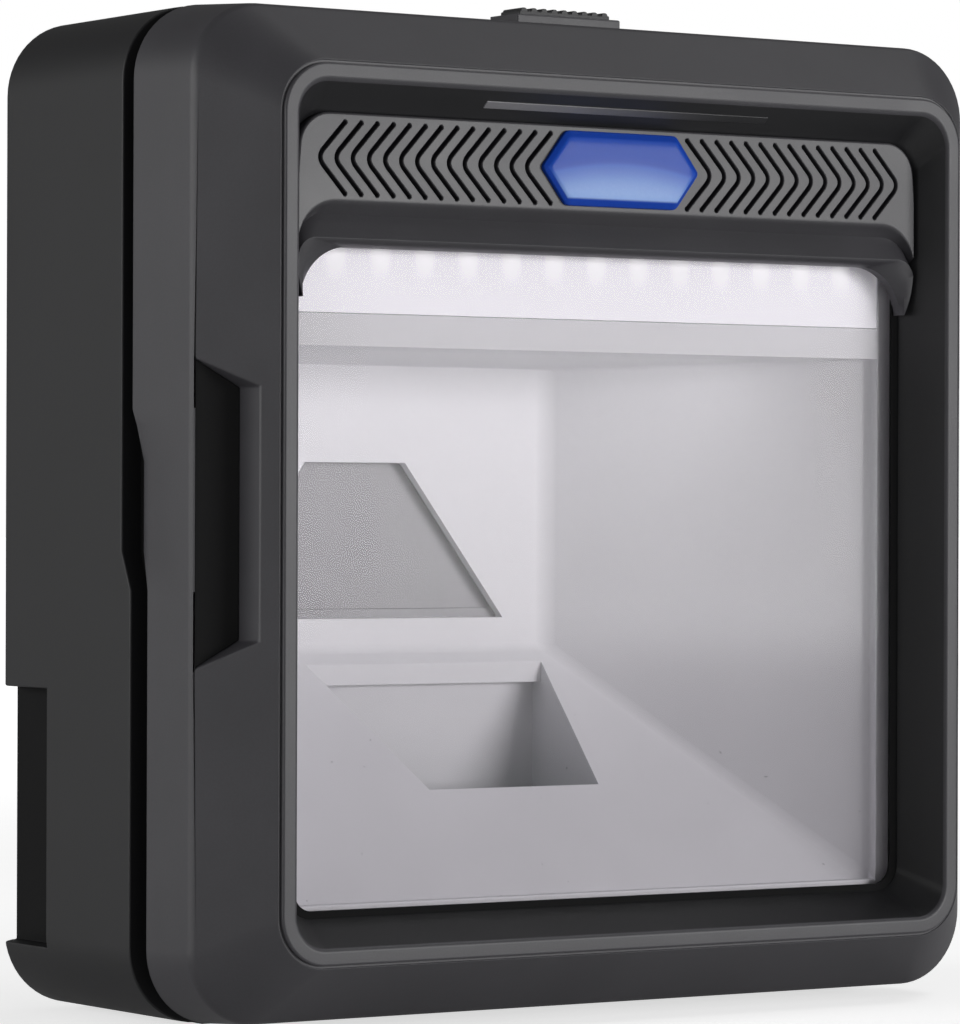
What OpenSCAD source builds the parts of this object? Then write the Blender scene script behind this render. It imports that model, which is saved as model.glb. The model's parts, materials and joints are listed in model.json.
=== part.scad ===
// Hands-free barcode scanner: a square box with a bevelled front frame round a clear window.
// Depths are measured back from the front rim, and heights up or down from the middle of the body.

/* [Body] */
// Width of the rear housing
body_w = 146; // [132:1:170]
// Height of the rear housing, without its feet
body_h = 152; // [138:1:180]
// Depth of the whole body, front rim to rear wall
body_d = 68; // [62:1:90]
// Radius of the body's four long edges
corner_r = 11.2; // [9:0.2:14]
// How much the front frame narrows on each side, parting line to bevel
band_taper = 1; // [0.4:0.1:1.4]
// Thickness of both shells where they meet
wall = 3.2; // [2.6:0.1:3.6]
// Thickness of the rear wall
rear_wall = 2.4; // [2:0.1:3]
// Chamfer round the rear wall
rear_chamfer = 2.4; // [1:0.1:3]

/* [Front rim] */
// Inset of the flat front rim from the edge of the bevel
bevel_in = 9.1; // [8:0.1:10]
// Depth of the bevel behind the rim
bevel_d = 11; // [9:0.5:12]
// Thickness of the bevelled wall, measured front to back
bevel_wall = 3; // [2.4:0.1:3.4]
// Radius of the rim's outer corners
rim_r = 7.5; // [6:0.1:9]
// Width of the flat rim
rim_t = 2.4; // [1.8:0.1:3]
// Depth of the recess round the window
recess_d = 8.3; // [7.6:0.1:9]
// How far the recess walls lean in at the sides
side_lean = 3.4; // [2.6:0.1:4]
// How far the recess wall leans in at the bottom
sill_lean = 3.9; // [3:0.1:4.4]
// How far the recess wall leans in at the top
top_lean = 6.9; // [6.4:0.1:7.4]

/* [Window] */
// Width of the recess floor beside the window
window_side = 1.3; // [1:0.1:5]
// Radius of the window's top corners
window_r = 7; // [5:0.5:9]
// Height of the gap between the window and the bottom recess wall
sill_gap = 1.1; // [0.6:0.1:1.8]
// Thickness of the pane
pane_t = 2; // [1.5:0.1:2.4]
// Radius of the pane's corners
pane_r = 4; // [3:0.5:5]
// Thickness of the gasket in front of the pane
gasket_t = 0.5; // [0.4:0.1:1]
// How far the pane reaches behind the side walls of the recess
pane_lap = 1.6; // [1.2:0.1:2]
// How far the pane reaches behind the bottom wall of the recess
pane_lap_low = 1; // [0.8:0.1:1.4]
// How far the pane reaches above the window
pane_lap_top = 2.6; // [2:0.1:3]
// Thickness of the skirt round the pane
skirt_t = 2.2; // [1.8:0.1:2.6]
// How far the skirt reaches behind the pane
skirt_lap = 2.4; // [2:0.1:3]
// Depth of the skirt's front end, inside the bevelled wall
skirt_front = 1.4; // [1.2:0.1:1.8]
// How far the skirt reaches above the recess
skirt_over = 1.9; // [1.6:0.1:2.2]
// Thickness of the wall behind the brow
seat_wall = 2; // [1.6:0.1:2.4]

/* [Parting groove] */
// Depth of the groove's front side in the upper half
groove_front_up = 26.6; // [26:0.1:27]
// Depth of the groove's rear side in the upper half
groove_rear_up = 29.6; // [29:0.1:31]
// Depth of the groove's front side in the lower half
groove_front_low = 22.3; // [21.5:0.1:23]
// Depth of the groove's rear side in the lower half
groove_rear_low = 26.9; // [26:0.1:28]
// Distance below the middle at which the groove starts to step forward
step_high = 5.6; // [4:0.2:7]
// Distance below the middle at which the groove has stepped forward
step_low = 11.4; // [10:0.2:13]
// Depth of the groove's front side at the finger facet
facet_edge = 25.4; // [25:0.1:25.8]
// Height of the finger facet above the middle
facet_high = 13; // [10:0.5:15]
// Height over which the facet closes at its top
facet_close = 2.4; // [2:0.1:3]
// How far the finger facet cuts in at its rear edge
facet_in = 1.4; // [0.6:0.1:2]
// Height over which the facet narrows towards its top
facet_slope = 5.3; // [2:0.1:8]
// Plain strip left above and below the facet
facet_margin = 0.6; // [0.4:0.1:1]
// Thickness of the black band inside the groove
seal_t = 1.6; // [1.2:0.1:2]
// How far the band reaches under each shell
seal_lap = 2.3; // [2:0.1:3]

/* [Side pockets] */
// Half height of a side pocket at the outer edge
pocket_outer = 22.6; // [18:0.2:24]
// Half height of a side pocket at its inner wall
pocket_inner = 18.5; // [14:0.2:20]
// Distance of a pocket's inner wall behind the edge of the bevel
pocket_w = 6.7; // [5.5:0.1:7]
// Depth of a pocket under the bevel
pocket_d = 6; // [4:0.2:6.5]
// Wall left beside a pocket
pocket_wall = 0.8; // [0.6:0.1:1.2]
// Thickness of a pocket's floor
pocket_floor = 2; // [1.6:0.1:2.4]
// Thickness of a pocket's inner and end walls
pocket_side = 1.6; // [1.2:0.1:2]
// Thickness of the pad in a pocket's floor
pad_t = 0.8; // [0.5:0.1:1]

/* [Brow] */
// Distance of the brow's ends inside the recess's edge
brow_side = 3; // [2.7:0.1:6.5]
// Distance of the brow's top edge below the recess's edge
brow_down = 4.4; // [4.2:0.1:5.5]
// Height of the brow's flat face
brow_face = 13.1; // [12.1:0.1:14.1]
// Height of the scoop and lip between the brow's face and the window
brow_roll = 6.6; // [5:0.1:7]
// Depth of the brow's flat face behind the rim
brow_d = 4.9; // [4.4:0.1:5.4]
// Radius of the brow's top corners
brow_r = 5.4; // [4:0.1:7]
// Radius of the scoop under the brow's face
scoop_r = 2.4; // [2.2:0.1:2.8]
// Thickness of the lip under the scoop
lip_t = 2.3; // [1.8:0.1:2.8]
// How far the brow's ends reach down beside the window
cheek_drop = 7.2; // [6:0.2:10]
// Height of the cheeks' slanted ends at the window
cheek_cut_in = 1.6; // [1:0.1:2]
// Height of the cheeks' slanted ends at the outer side
cheek_cut_out = 4.4; // [3:0.1:5]
// Distance from one sound slot to the next
slot_pitch = 2.87; // [2.6:0.01:3.2]
// Width of a sound slot
slot_w = 0.8; // [0.6:0.05:1]
// Height of a sound slot
slot_h = 11.3; // [9:0.1:12]
// How far a sound slot's point stands out from its ends
slot_point = 4.3; // [3:0.1:5]
// Distance from the middle to the ends of the first sound slot
slot_start = 12.6; // [12:0.1:13]
// Plain strip between the last sound slot and the brow's end
slot_margin = 2.3; // [2:0.1:20]

/* [Badge and light bar] */
// Width of the hexagonal badge
badge_w = 29.3; // [24:0.1:30]
// Height of the badge
badge_h = 11.4; // [9:0.1:12]
// Length of each pointed end of the badge
badge_point = 4.4; // [3:0.1:5]
// How far the badge stands out
badge_t = 1.1; // [0.6:0.1:1.6]
// Width of the slanted border round the badge
badge_border = 0.9; // [0.5:0.1:1.2]
// Height of the badge's straight edge
badge_edge = 0.6; // [0.3:0.1:0.7]
// Length of the status light bar
light_w = 52.6; // [30:0.2:60]
// Width of the status light bar
light_t = 1.5; // [1:0.1:2]
// Depth of the status light bar in its wall
light_d = 2; // [1.5:0.1:2.4]
// Depth of the status light bar behind the rim
light_back = 2.7; // [2.4:0.1:3.2]
// How far the status light bar stands out
light_proud = 0.15; // [0.1:0.01:0.3]

/* [Push button] */
// Width of the button's collar
button_w = 19.5; // [16:0.5:24]
// Depth of the button's collar
button_l = 7.6; // [7:0.1:7.8]
// Depth of the collar's front face behind the rim
button_front = 18.4; // [18:0.1:18.6]
// How far the collar stands above the body
collar_h = 1.1; // [0.8:0.1:1.6]
// How deep the collar sits in the body
collar_seat = 1.4; // [1.3:0.1:1.8]
// Rim of the collar round the cap
collar_rim = 1; // [0.8:0.1:1.4]
// How far the cap stands above the body
cap_h = 2.2; // [2:0.1:3]
// How far the cap reaches into the body
cap_seat = 0.4; // [0.2:0.1:0.4]
// Number of ribs across the cap
cap_ribs = 9; // [5:1:11]
// Depth of the grooves between the ribs
rib_h = 0.4; // [0.2:0.05:0.5]
// Travel of the button
button_travel = 0.8; // [0.5:0.1:0.8]
// Width of the cap's stem
stem_w = 8; // [6:0.2:10]
// Depth of the cap's stem, front to back
stem_l = 3; // [2.4:0.1:3.4]
// How far the stem reaches below the body's ceiling
stem_reach = 1.2; // [1:0.1:2]
// Room round the stem where it passes the body
stem_room = 0.6; // [0.5:0.1:0.8]
// How far the stem's clips stand out on each side
clip_out = 1.5; // [1.2:0.1:2]
// Thickness of the stem's clips
clip_t = 0.8; // [0.6:0.1:0.8]
// Width of the switch
switch_w = 6; // [4:0.5:7]
// Depth of the switch, front to back
switch_l = 5.2; // [4:0.2:6]
// Height of the switch
switch_t = 2.2; // [1.5:0.1:3]
// Thickness of the switch board
switch_board_t = 1; // [0.8:0.1:1.6]
// Distance between the pressed stem and the switch
switch_slack = 0.35; // [0.3:0.05:0.6]
// Distance from the middle to the posts of the switch board
switch_post_x = 8.5; // [8:0.5:10]
// Width of the posts of the switch board
switch_post_w = 3; // [2:0.2:4]

/* [Feet] */
// How far the feet stand under the body
foot_h = 0.8; // [0.6:0.1:2]
// Depth of the feet's seats in the body
foot_seat = 0.8; // [0.4:0.1:1.2]
// Length of a front foot
foot_front_w = 26; // [16:1:30]
// Width of a front foot, front to back
foot_front_l = 10.6; // [8:0.2:11]
// Distance of the front feet behind the groove
foot_front_gap = 4.2; // [3:0.2:6]
// Length of a rear foot
foot_rear_w = 20; // [14:1:26]
// Width of a rear foot, front to back
foot_rear_l = 7; // [5:0.2:8]
// Distance of the rear feet in front of the rear chamfer
foot_rear_gap = 0.4; // [0.3:0.1:2]
// Distance of the feet's outer ends from the body's sides
foot_in = 15; // [13:1:24]

/* [Cable bay] */
// Height of the cable bay's ceiling above the bottom of the body
bay_top = 49.3; // [46:0.1:52]
// Height of the cable bay's floor above the bottom of the body
bay_low = 9.9; // [9:0.1:12]
// Depth of the cable bay from the rear
bay_d = 15.7; // [14:0.1:16.4]
// How far the side notches cut in
notch_in = 3.5; // [3.4:0.1:4.2]
// Thickness of the bay's walls
bay_wall = 2; // [1.6:0.1:2.4]
// Thickness of the cable cover
cover_t = 2.2; // [1.8:0.1:2.8]
// Width of the cord slot in the cable cover
cord_slot_w = 8; // [6:0.5:12]
// Height of the cord slot in the cable cover
cord_slot_h = 9; // [7:0.5:12]
// Distance of the cover's screws from the bay's side walls
cover_screw_in = 24; // [18:1:30]
// Radius of the bosses under the cover's screws
cover_boss_r = 3.4; // [3:0.1:4]
// Length of the cover's screws below the cover
cover_screw_l = 6; // [4:0.5:8]
// Solid floor left under the cover's screws
cover_boss_floor = 3; // [2:0.5:4]

/* [Light chamber] */
// Thickness of the light chamber's walls
chamber_wall = 1.6; // [1.2:0.1:1.8]
// Thickness of the chamber's flange behind the pane
flange_t = 2; // [1.6:0.1:2.4]
// Distance of the chamber's mouth inside the pane's side edges
chamber_in = 3.8; // [3.6:0.1:6]
// Distance of the chamber's mouth above the pane's lower edge
chamber_up = 2.4; // [2.2:0.1:4]
// Distance from the chamber's back wall to the main board
chamber_room = 15; // [14:0.1:18]
// How far the left wall leans in from the mouth to the back wall
left_lean = 4.9; // [0.7:0.1:8]
// How far the floor rises from the mouth to the back wall
floor_rise = 36.9; // [30:0.1:39.4]
// How far the ceiling falls from the mouth to the back wall
ceiling_fall = 1.5; // [0.5:0.1:5]
// Distance from the camera's axis to the back wall's right edge
back_reach = 36.2; // [32:0.1:42]
// Height of the diffuser below the window's top edge
diffuser_show = 9.6; // [8:0.1:11.4]
// Height of the lip between the diffuser and the chamber
diffuser_lip = 4.8; // [1.6:0.1:5.4]
// Thickness of the diffuser
diffuser_t = 2; // [1.4:0.1:2.4]
// How far the flange frames the diffuser's top
diffuser_frame = 1.6; // [1.2:0.1:2]
// Thickness of the roof over the lamps
lamp_roof = 1.2; // [1:0.1:1.6]
// Distance from the chamber's flange to the lamp board
lamp_gap = 7.2; // [6:0.1:9]
// Least distance from the row of lamps to the chamber's side walls
lamp_side = 3.2; // [3:0.1:20]
// Distance from one lamp to the next
lamp_pitch = 7.9; // [6:0.1:8.2]
// Side of a lamp
lamp_size = 3.5; // [2:0.1:4]
// Height of a lamp on its board
lamp_t = 1; // [0.6:0.1:1.6]

/* [Camera] */
// Distance from the camera's axis to the back wall's left edge
camera_in = 28; // [27:0.5:30]
// Height of the camera's axis above the fold of the chamber's floor
camera_up = 17.3; // [14:0.1:21]
// Half width of the camera aperture's upper edge
aperture_top = 9.3; // [7:0.1:12]
// Distance from the camera's axis to the aperture's lower left corner
aperture_left = 27; // [24:0.5:27.5]
// Distance from the camera's axis to the aperture's lower right corner
aperture_right = 28; // [24:0.5:29]
// Height of the aperture's upper edge above the camera's axis
aperture_up = 12.1; // [10:0.1:14]
// Height of the aperture's lower edge below the camera's axis
aperture_low = 12.4; // [10:0.1:14]
// Length of the shroud between the chamber and the camera board
shroud_l = 9.4; // [9:0.1:10]
// Thickness of the shrouds' walls
shroud_wall = 1.5; // [1.2:0.1:2]
// Ledge between an aperture's edge and its shroud
shroud_ledge = 0.5; // [0.3:0.1:1]
// Thickness of the camera board
camera_board_t = 1.4; // [1:0.1:1.8]
// Gap between the image sensor's corners and the barrel's bore
sensor_gap = 0.45; // [0.2:0.05:1]
// Height of the image sensor on its board
sensor_t = 1; // [0.6:0.1:1.4]
// Radius of the camera's barrel
barrel_r = 7; // [5:0.2:8]
// Length of the camera's barrel
barrel_l = 8; // [6:0.2:8.4]
// Wall of the camera's barrel
barrel_wall = 1.6; // [1.2:0.1:1.8]
// Depth of the lens inside the barrel
lens_in = 0.8; // [0.4:0.1:1.2]
// Thickness of the lens
lens_t = 3; // [2:0.1:3.4]

/* [Aiming light] */
// Distance from the camera's axis to the aimer's axis
aimer_off = 12; // [8:0.5:16]
// Half width of the floor aperture at its back edge
floor_back = 22.2; // [20:0.1:23]
// Distance from the aimer's axis to the floor aperture's front right corner
floor_right = 21; // [18:0.5:22]
// Distance from the aimer's axis to the floor aperture's front left corner
floor_left = 10.9; // [9:0.1:14]
// Distance of the floor aperture's back edge in front of the chamber's back wall
floor_gap = 1.9; // [1:0.1:3]
// Length of the floor aperture, front to back
floor_l = 11.3; // [9:0.1:12]
// Depth of the aimer's shroud below the fold of the chamber's floor
aimer_depth = 28.7; // [24:0.1:30]
// Thickness of the aimer's board
aimer_board_t = 1.2; // [1:0.1:1.6]
// Radius of the aimer's lens
aimer_r = 3; // [2:0.1:4]
// Height of the aimer's lens below its slanted tip
aimer_h = 2; // [1.5:0.1:3]
// Height and width of the lens's slanted tip
aimer_tip = 1; // [0.5:0.1:1.4]

/* [Speaker] */
// Distance from the middle to the speaker
speaker_x = 34; // [28:1:36]
// Width of the speaker
speaker_w = 24; // [20:1:28]
// Height of the speaker
speaker_h = 12; // [9:0.5:13]
// Thickness of the speaker
speaker_t = 4; // [3:0.1:5]
// Width of the speaker's mouth
mouth_w = 18; // [12:1:20]
// Height of the speaker's mouth
mouth_h = 6; // [4:0.5:8]
// Depth of the speaker's mouth
mouth_d = 0.8; // [0.5:0.1:1.5]

/* [Boards] */
// Thickness of the circuit boards
board_t = 1.6; // [1:0.1:2]
// Distance between the main board's sides and the screw posts
main_side = 3; // [2:0.1:11]
// Distance of the main board's top edge below the ceiling
main_down = 12.8; // [8.8:0.2:22.8]
// Distance of the main board's lower edge above the cable bay
main_up = 3; // [1:0.1:6]
// Distance from the rear wall to the main board
standoff_l = 4; // [3.6:0.1:5]
// Radius of the main board's standoffs
standoff_r = 3; // [2.4:0.1:3.4]
// Distance of the board screws from the board's edges
board_screw_in = 6; // [4:0.2:8]
// Radius of the board screws' heads
board_head_r = 2.2; // [1.8:0.1:2.6]
// Height of the board screws' heads
board_head_h = 1.4; // [1:0.1:2]
// How far the board screws reach into their standoffs
screw_bite = 3.2; // [2.4:0.1:3.4]
// Distance of the upper chips' middle below the board's top edge
chip_down = 21; // [16:0.5:24]
// Distance between the middles of the upper chips
chip_pitch = 34; // [30:0.5:36]
// Side of the processor
processor_w = 22; // [14:0.5:24]
// Width of the memory and radio chips
memory_w = 14; // [8:0.5:16]
// Height of the memory and radio chips
memory_h = 11; // [8:0.5:14]
// Height of the power chip
power_h = 9; // [6:0.5:10]
// Distance of the power chip above the host port
power_up = 4; // [2:0.5:8]
// Thickness of the chips
chip_t = 1.6; // [1:0.1:2.4]

/* [Host port] */
// Distance of the host port from the middle
port_x = 30; // [26:0.5:36]
// Width of the host port
port_w = 14; // [12:0.2:16]
// Height of the host port above its board
port_t = 7.6; // [7:0.1:8]
// Length of the host port, mouth to back
port_l = 18; // [15:0.5:20]
// Thickness of the host port's walls
port_wall = 1; // [0.8:0.1:1.2]
// Solid end of the host port behind its socket
port_end = 5; // [3:0.5:7]

/* [Fasteners] */
// Distance of the housing screws from the body's sides
post_in = 8.8; // [8.6:0.1:9.2]
// Distance of the upper housing screws below the body's top
post_down = 26; // [20:1:36]
// Distance of the lower housing screws above the body's bottom
post_rise = 31; // [20:1:40]
// Radius of the screw posts
post_r = 3.2; // [3:0.1:3.4]
// Depth of the front posts' front ends
post_front = 8; // [7:0.2:9]
// Thickness of the ribs that join the front posts to the side walls
post_rib = 1.8; // [1.4:0.1:2.4]
// Distance between the front shell's edge and the upper posts' meeting face
post_past = 1.4; // [1:0.1:1.6]
// Distance between the front shell's edge and the lower posts' meeting face
post_short = 0.4; // [0.2:0.1:1]
// Distance of the housing screws' heads behind the groove
head_back = 8; // [6:0.5:10]
// Radius of the housing and cover screws' heads
head_r = 2.3; // [2:0.1:2.4]
// Height of the housing screws' heads
head_h = 1.8; // [1.2:0.1:2.2]
// Height of the cover screws' heads
cover_head_h = 1.1; // [0.8:0.1:1.2]
// Radius of the screws' shanks
shank_r = 1.25; // [1:0.05:1.4]
// Depth of the housing screws' tips behind the rim
screw_end = 13; // [11:0.5:15]
// Distance between the two mounting inserts
insert_pitch = 50; // [40:1:60]
// Height of the mounting inserts above the middle
insert_up = 20; // [10:1:30]
// Radius of a mounting insert's threaded hole
insert_hole_r = 1.65; // [1.5:0.05:2]
// Outer radius of a mounting insert
insert_r = 2.8; // [2.5:0.1:3.2]
// Length of a mounting insert
insert_l = 5.8; // [5:0.1:6.2]
// Wall of the bosses round the inserts
insert_boss = 2; // [1.6:0.1:3]

/* [Clearances] */
// Clearance of pieces that drop into a seat
fit = 0.15; // [0.05:0.01:0.2]
// Clearance round the moving button
slide_gap = 0.2; // [0.1:0.01:0.25]
// Clearance round the brow
brow_gap = 0.3; // [0.1:0.05:0.5]
// Overlap of walls and bosses that are one piece
fuse = 0.4; // [0.3:0.05:0.6]

/* [Hidden] */
$fn = 48;
thin = 0.01;
past = 1;
corner_steps = 8;

front_y = -body_d / 2;
mid_z = foot_h + body_h / 2;

edge_w = body_w - 2 * band_taper;
edge_h = body_h - 2 * band_taper;
rim_w = edge_w - 2 * bevel_in;
rim_h = edge_h - 2 * bevel_in;
recess_w = rim_w - 2 * rim_t;
recess_h = rim_h - 2 * rim_t;
floor_w = recess_w - 2 * side_lean;
floor_top = recess_h / 2 - top_lean;
floor_low = sill_lean - recess_h / 2;

cavity_w = body_w - 2 * wall;
cavity_h = body_h - 2 * wall;
cavity_r = corner_r - wall;
body_top = body_h / 2;
rear_face = body_d - rear_wall;

brow_half = recess_w / 2 - brow_side;
brow_top = recess_h / 2 - brow_down;
brow_low = brow_top - brow_face;
window_w = floor_w - 2 * window_side;
window_top = brow_low - brow_roll;
window_low = floor_low + sill_gap;

pane_w = floor_w + 2 * pane_lap;
pane_low = floor_low - pane_lap_low;
pane_top = window_top + pane_lap_top;
pane_front = recess_d + gasket_t;
pane_back = pane_front + pane_t;
skirt_back = pane_back + skirt_lap;
skirt_w = pane_w + 2 * fit + 2 * skirt_t;
skirt_low = pane_low - fit - skirt_t;
skirt_top = recess_h / 2 + skirt_over;
seat_wall_back = recess_d + seat_wall;

seal_front = groove_front_low - seal_lap;
seal_back = groove_rear_up + seal_lap;

pocket_x0 = edge_w / 2 - pocket_w;
pocket_x1 = edge_w / 2 - pocket_wall;

slot_z = (brow_top + brow_low) / 2;
slot_room = brow_half - slot_start - slot_point - slot_w - slot_margin;
slot_count = floor(slot_room / slot_pitch) + 1;
scoop_low = window_top + lip_t;
scoop_z = (brow_low + scoop_low) / 2;
scoop_half = (brow_low - scoop_low) / 2;
scoop_d = brow_d - sqrt(scoop_r * scoop_r - scoop_half * scoop_half);
cheek_tip = window_top - cheek_drop;

light_angle = atan2(top_lean, recess_d);
light_z = recess_h / 2 - light_back * top_lean / recess_d;

button_mid = button_front + button_l / 2;
button_back = button_front + button_l;
cap_w = button_w - 2 * collar_rim - 2 * slide_gap;
cap_l = button_l - 2 * collar_rim - 2 * slide_gap;
collar_base = body_top - collar_seat;
stem_end = cavity_h / 2 - stem_reach;
switch_top = stem_end - button_travel - switch_slack;
switch_low = switch_top - switch_t;
switch_half = switch_post_x + switch_post_w / 2;

foot_reach = body_w / 2 - foot_in;
foot_front_mid = groove_rear_low + foot_front_gap + foot_front_l / 2;
foot_rear_mid = body_d - rear_chamfer - foot_rear_gap - foot_rear_l / 2;

bay_top_z = bay_top - body_h / 2;
bay_low_z = bay_low - body_h / 2;
bay_front = body_d - bay_d;
bay_half = body_w / 2 - notch_in;
bay_in_half = bay_half - bay_wall;
cover_front = body_d - cover_t;
cover_screw_x = bay_in_half - cover_screw_in;
cover_screw_z = (bay_top_z + bay_low_z) / 2;

main_back = rear_face - standoff_l;
main_front = main_back - board_t;
main_low = bay_top_z + bay_wall + main_up;
main_top = cavity_h / 2 - main_down;

post_x = body_w / 2 - post_in;
post_high_z = body_h / 2 - post_down;
post_low_z = post_rise - body_h / 2;
post_meet_high = groove_front_up + post_past;
post_meet_low = groove_front_low - post_short;
head_d = groove_rear_up + head_back;
main_half = post_x - post_r - main_side;
standoff_x = main_half - board_screw_in;

flange_back = pane_back + flange_t;
diffuser_low = window_top - diffuser_show;
diffuser_top = pane_top - diffuser_frame;
chamber_half = pane_w / 2 - chamber_in;
chamber_low = pane_low + chamber_up;
chamber_high = diffuser_low - diffuser_lip;
chamber_back = main_front - chamber_room;
back_face = chamber_back + chamber_wall;
back_left = left_lean - chamber_half;
back_low = chamber_low + floor_rise;
back_high = chamber_high - ceiling_fall;
lamp_board_front = flange_back + lamp_gap;
lamp_z = (diffuser_low + diffuser_top) / 2;
lamp_count = floor((2 * (chamber_half - lamp_side) - lamp_size) / lamp_pitch) + 1;

camera_x = back_left + camera_in;
camera_z = back_low + camera_up;
back_right = camera_x + back_reach;
camera_front = back_face + shroud_l;
shroud_half = aperture_right + shroud_wall + shroud_ledge;
shroud_high = camera_z + aperture_up + shroud_wall + shroud_ledge / 2;
shroud_low = camera_z - aperture_low - shroud_wall - shroud_ledge / 2;
barrel_front = camera_front - barrel_l;
barrel_bore = barrel_r - barrel_wall;
sensor_size = sqrt(2) * (barrel_bore - sensor_gap);
aperture = [[camera_x - aperture_left, camera_z - aperture_low],
    [camera_x + aperture_right, camera_z - aperture_low],
    [camera_x + aperture_top, camera_z + aperture_up],
    [camera_x - aperture_top, camera_z + aperture_up]];

aimer_x = camera_x + aimer_off;
floor_d1 = chamber_back - floor_gap;
floor_d0 = floor_d1 - floor_l;
floor_aperture = [[aimer_x - floor_back, floor_d1], [aimer_x + floor_back, floor_d1],
    [aimer_x + floor_right, floor_d0], [aimer_x - floor_left, floor_d0]];
aimer_half = floor_back + shroud_wall + shroud_ledge;
aimer_d0 = floor_d0 - shroud_wall - shroud_ledge;
aimer_d1 = back_face + shroud_ledge;
aimer_low = back_low - aimer_depth;
aimer_seat = aimer_low + shroud_wall;

port_back = main_front;
port_front = port_back - port_t;
port_high = bay_top_z + port_l;

shell_black = "#3a3a3c";
trim_black = "#151516";
rim_grey = "#4a4a4d";
badge_blue = "#2b62d2";
light_grey = "#77767a";
chamber_white = "#d3d2d6";
diffuser_white = "#f1f1f3";
lamp_cream = "#f4f2dc";
glass_clear = "#d8dce0";
board_green = "#1f5a3c";
chip_black = "#26262a";
steel = "#b8babd";
brass = "#c9a352";
rubber_black = "#1a1a1b";

// Corner points of an upright rounded rectangle
function rounded(w, h, r) = [
    for (q = [0:3], i = [0:corner_steps])
        let (a = q * 90 + i * 90 / corner_steps,
             cx = (q == 0 || q == 3) ? w / 2 - r : r - w / 2,
             cz = q < 2 ? h / 2 - r : r - h / 2)
        [cx + r * cos(a), cz + r * sin(a)]];

// Corner points of one sound slot with its point to the right, its ends at x
function chevron(x, z) = [
    [x, z + slot_h / 2], [x + slot_w, z + slot_h / 2], [x + slot_point + slot_w, z],
    [x + slot_w, z - slot_h / 2], [x, z - slot_h / 2], [x + slot_point, z]];

// Half width of the front frame's side band at a depth
function band_half(d) = edge_w / 2 + band_taper * (d - bevel_d) / (groove_front_up - bevel_d);

// Depth of the side bevel's surface at a distance from the middle
function bevel_at(x) = bevel_d - (edge_w / 2 - x) * bevel_d / bevel_in;

// Rounded plate across the body between two depths, its middle at height z
module slab(w, h, r, d0, d1, z = 0) {
    translate([0, front_y + d1, mid_z + z])
        rotate([90, 0, 0]) linear_extrude(d1 - d0) polygon(rounded(w, h, r));
}

// Rounded plate given by its lower and upper heights
module tall_slab(w, low, high, r, d0, d1) {
    slab(w, high - low, r, d0, d1, (low + high) / 2);
}

// Box between two sides, two depths and two heights
module block(x0, x1, d0, d1, z0, z1) {
    translate([x0, front_y + d0, mid_z + z0]) cube([x1 - x0, d1 - d0, z1 - z0]);
}

// Box between two depths, given by its middle, width and height
module plate(x, z, w, h, d0, d1) {
    block(x - w / 2, x + w / 2, d0, d1, z - h / 2, z + h / 2);
}

// Round bar or hole that runs front to back
module rod(x, z, r, d0, d1) {
    translate([x, front_y + d0, mid_z + z]) rotate([-90, 0, 0]) cylinder(r = r, h = d1 - d0);
}

// Outline in depth and height, drawn out across the body
module prism_x(points, x0, x1) {
    translate([x0, front_y, mid_z]) rotate([90, 0, 90]) linear_extrude(x1 - x0) polygon(points);
}

// Outline in width and height, drawn out front to back
module prism_y(points, d0, d1) {
    translate([0, front_y + d1, mid_z]) rotate([90, 0, 0]) linear_extrude(d1 - d0) polygon(points);
}

// Outline in width and depth, drawn out upwards
module prism_z(points, z0, z1) {
    translate([0, front_y, mid_z + z0]) linear_extrude(z1 - z0) polygon(points);
}

// The same thing on the left and on the right
module both_sides() {
    children();
    mirror([1, 0, 0]) children();
}

// Front frame

module bezel_outside() {
    hull() {
        slab(rim_w, rim_h, rim_r, 0, thin);
        slab(edge_w, edge_h, corner_r, bevel_d, bevel_d + thin);
        slab(body_w, body_h, corner_r + band_taper / 2, groove_front_up - thin, groove_front_up);
    }
}

module bezel_inside() {
    hull() {
        slab(rim_w - bevel_wall, rim_h - bevel_wall, rim_r - bevel_wall / 2, bevel_wall / 2,
            bevel_wall / 2 + thin);
        slab(cavity_w, cavity_h, cavity_r, bevel_d + bevel_wall / 2, groove_front_up + past);
    }
}

module recess() {
    hull() {
        slab(recess_w, recess_h, rim_r - rim_t, -thin, 0);
        tall_slab(floor_w, floor_low, floor_top, pane_r, recess_d, recess_d + thin);
    }
}

module brow_seat() {
    tall_slab(2 * (brow_half + brow_gap), cheek_tip - brow_gap, brow_top + brow_gap, brow_r, brow_d,
        recess_d);
}

// What the parting groove takes off the front frame
module front_groove() {
    prism_x([[groove_front_low, -body_h], [groove_front_low, -step_low], [facet_edge, -step_high],
        [facet_edge, facet_high], [groove_front_up, facet_high + facet_close],
        [groove_front_up + 2 * past, facet_high + facet_close], [groove_front_up + 2 * past, -body_h]],
        -body_w, body_w);
}

// What the parting groove takes off the rear housing
module rear_groove() {
    prism_x([[0, body_h], [0, -step_low], [groove_rear_low, -step_low], [groove_rear_up, -step_high],
        [groove_rear_up, body_h]], -body_w, body_w);
}

module finger_facet() {
    inner = body_w / 2 - facet_in;
    outer = body_w / 2 + past;
    low = facet_margin - step_low;
    high = facet_high - facet_margin;
    intersection() {
        prism_z([[outer, groove_front_low], [band_half(groove_front_low), groove_front_low],
            [inner, facet_edge], [inner, groove_front_up], [outer, groove_front_up]], low, high);
        prism_x([[groove_front_low, low], [groove_front_low, high - facet_slope], [facet_edge, high],
            [groove_front_up, high], [groove_front_up, low]], 0, outer);
    }
}

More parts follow.
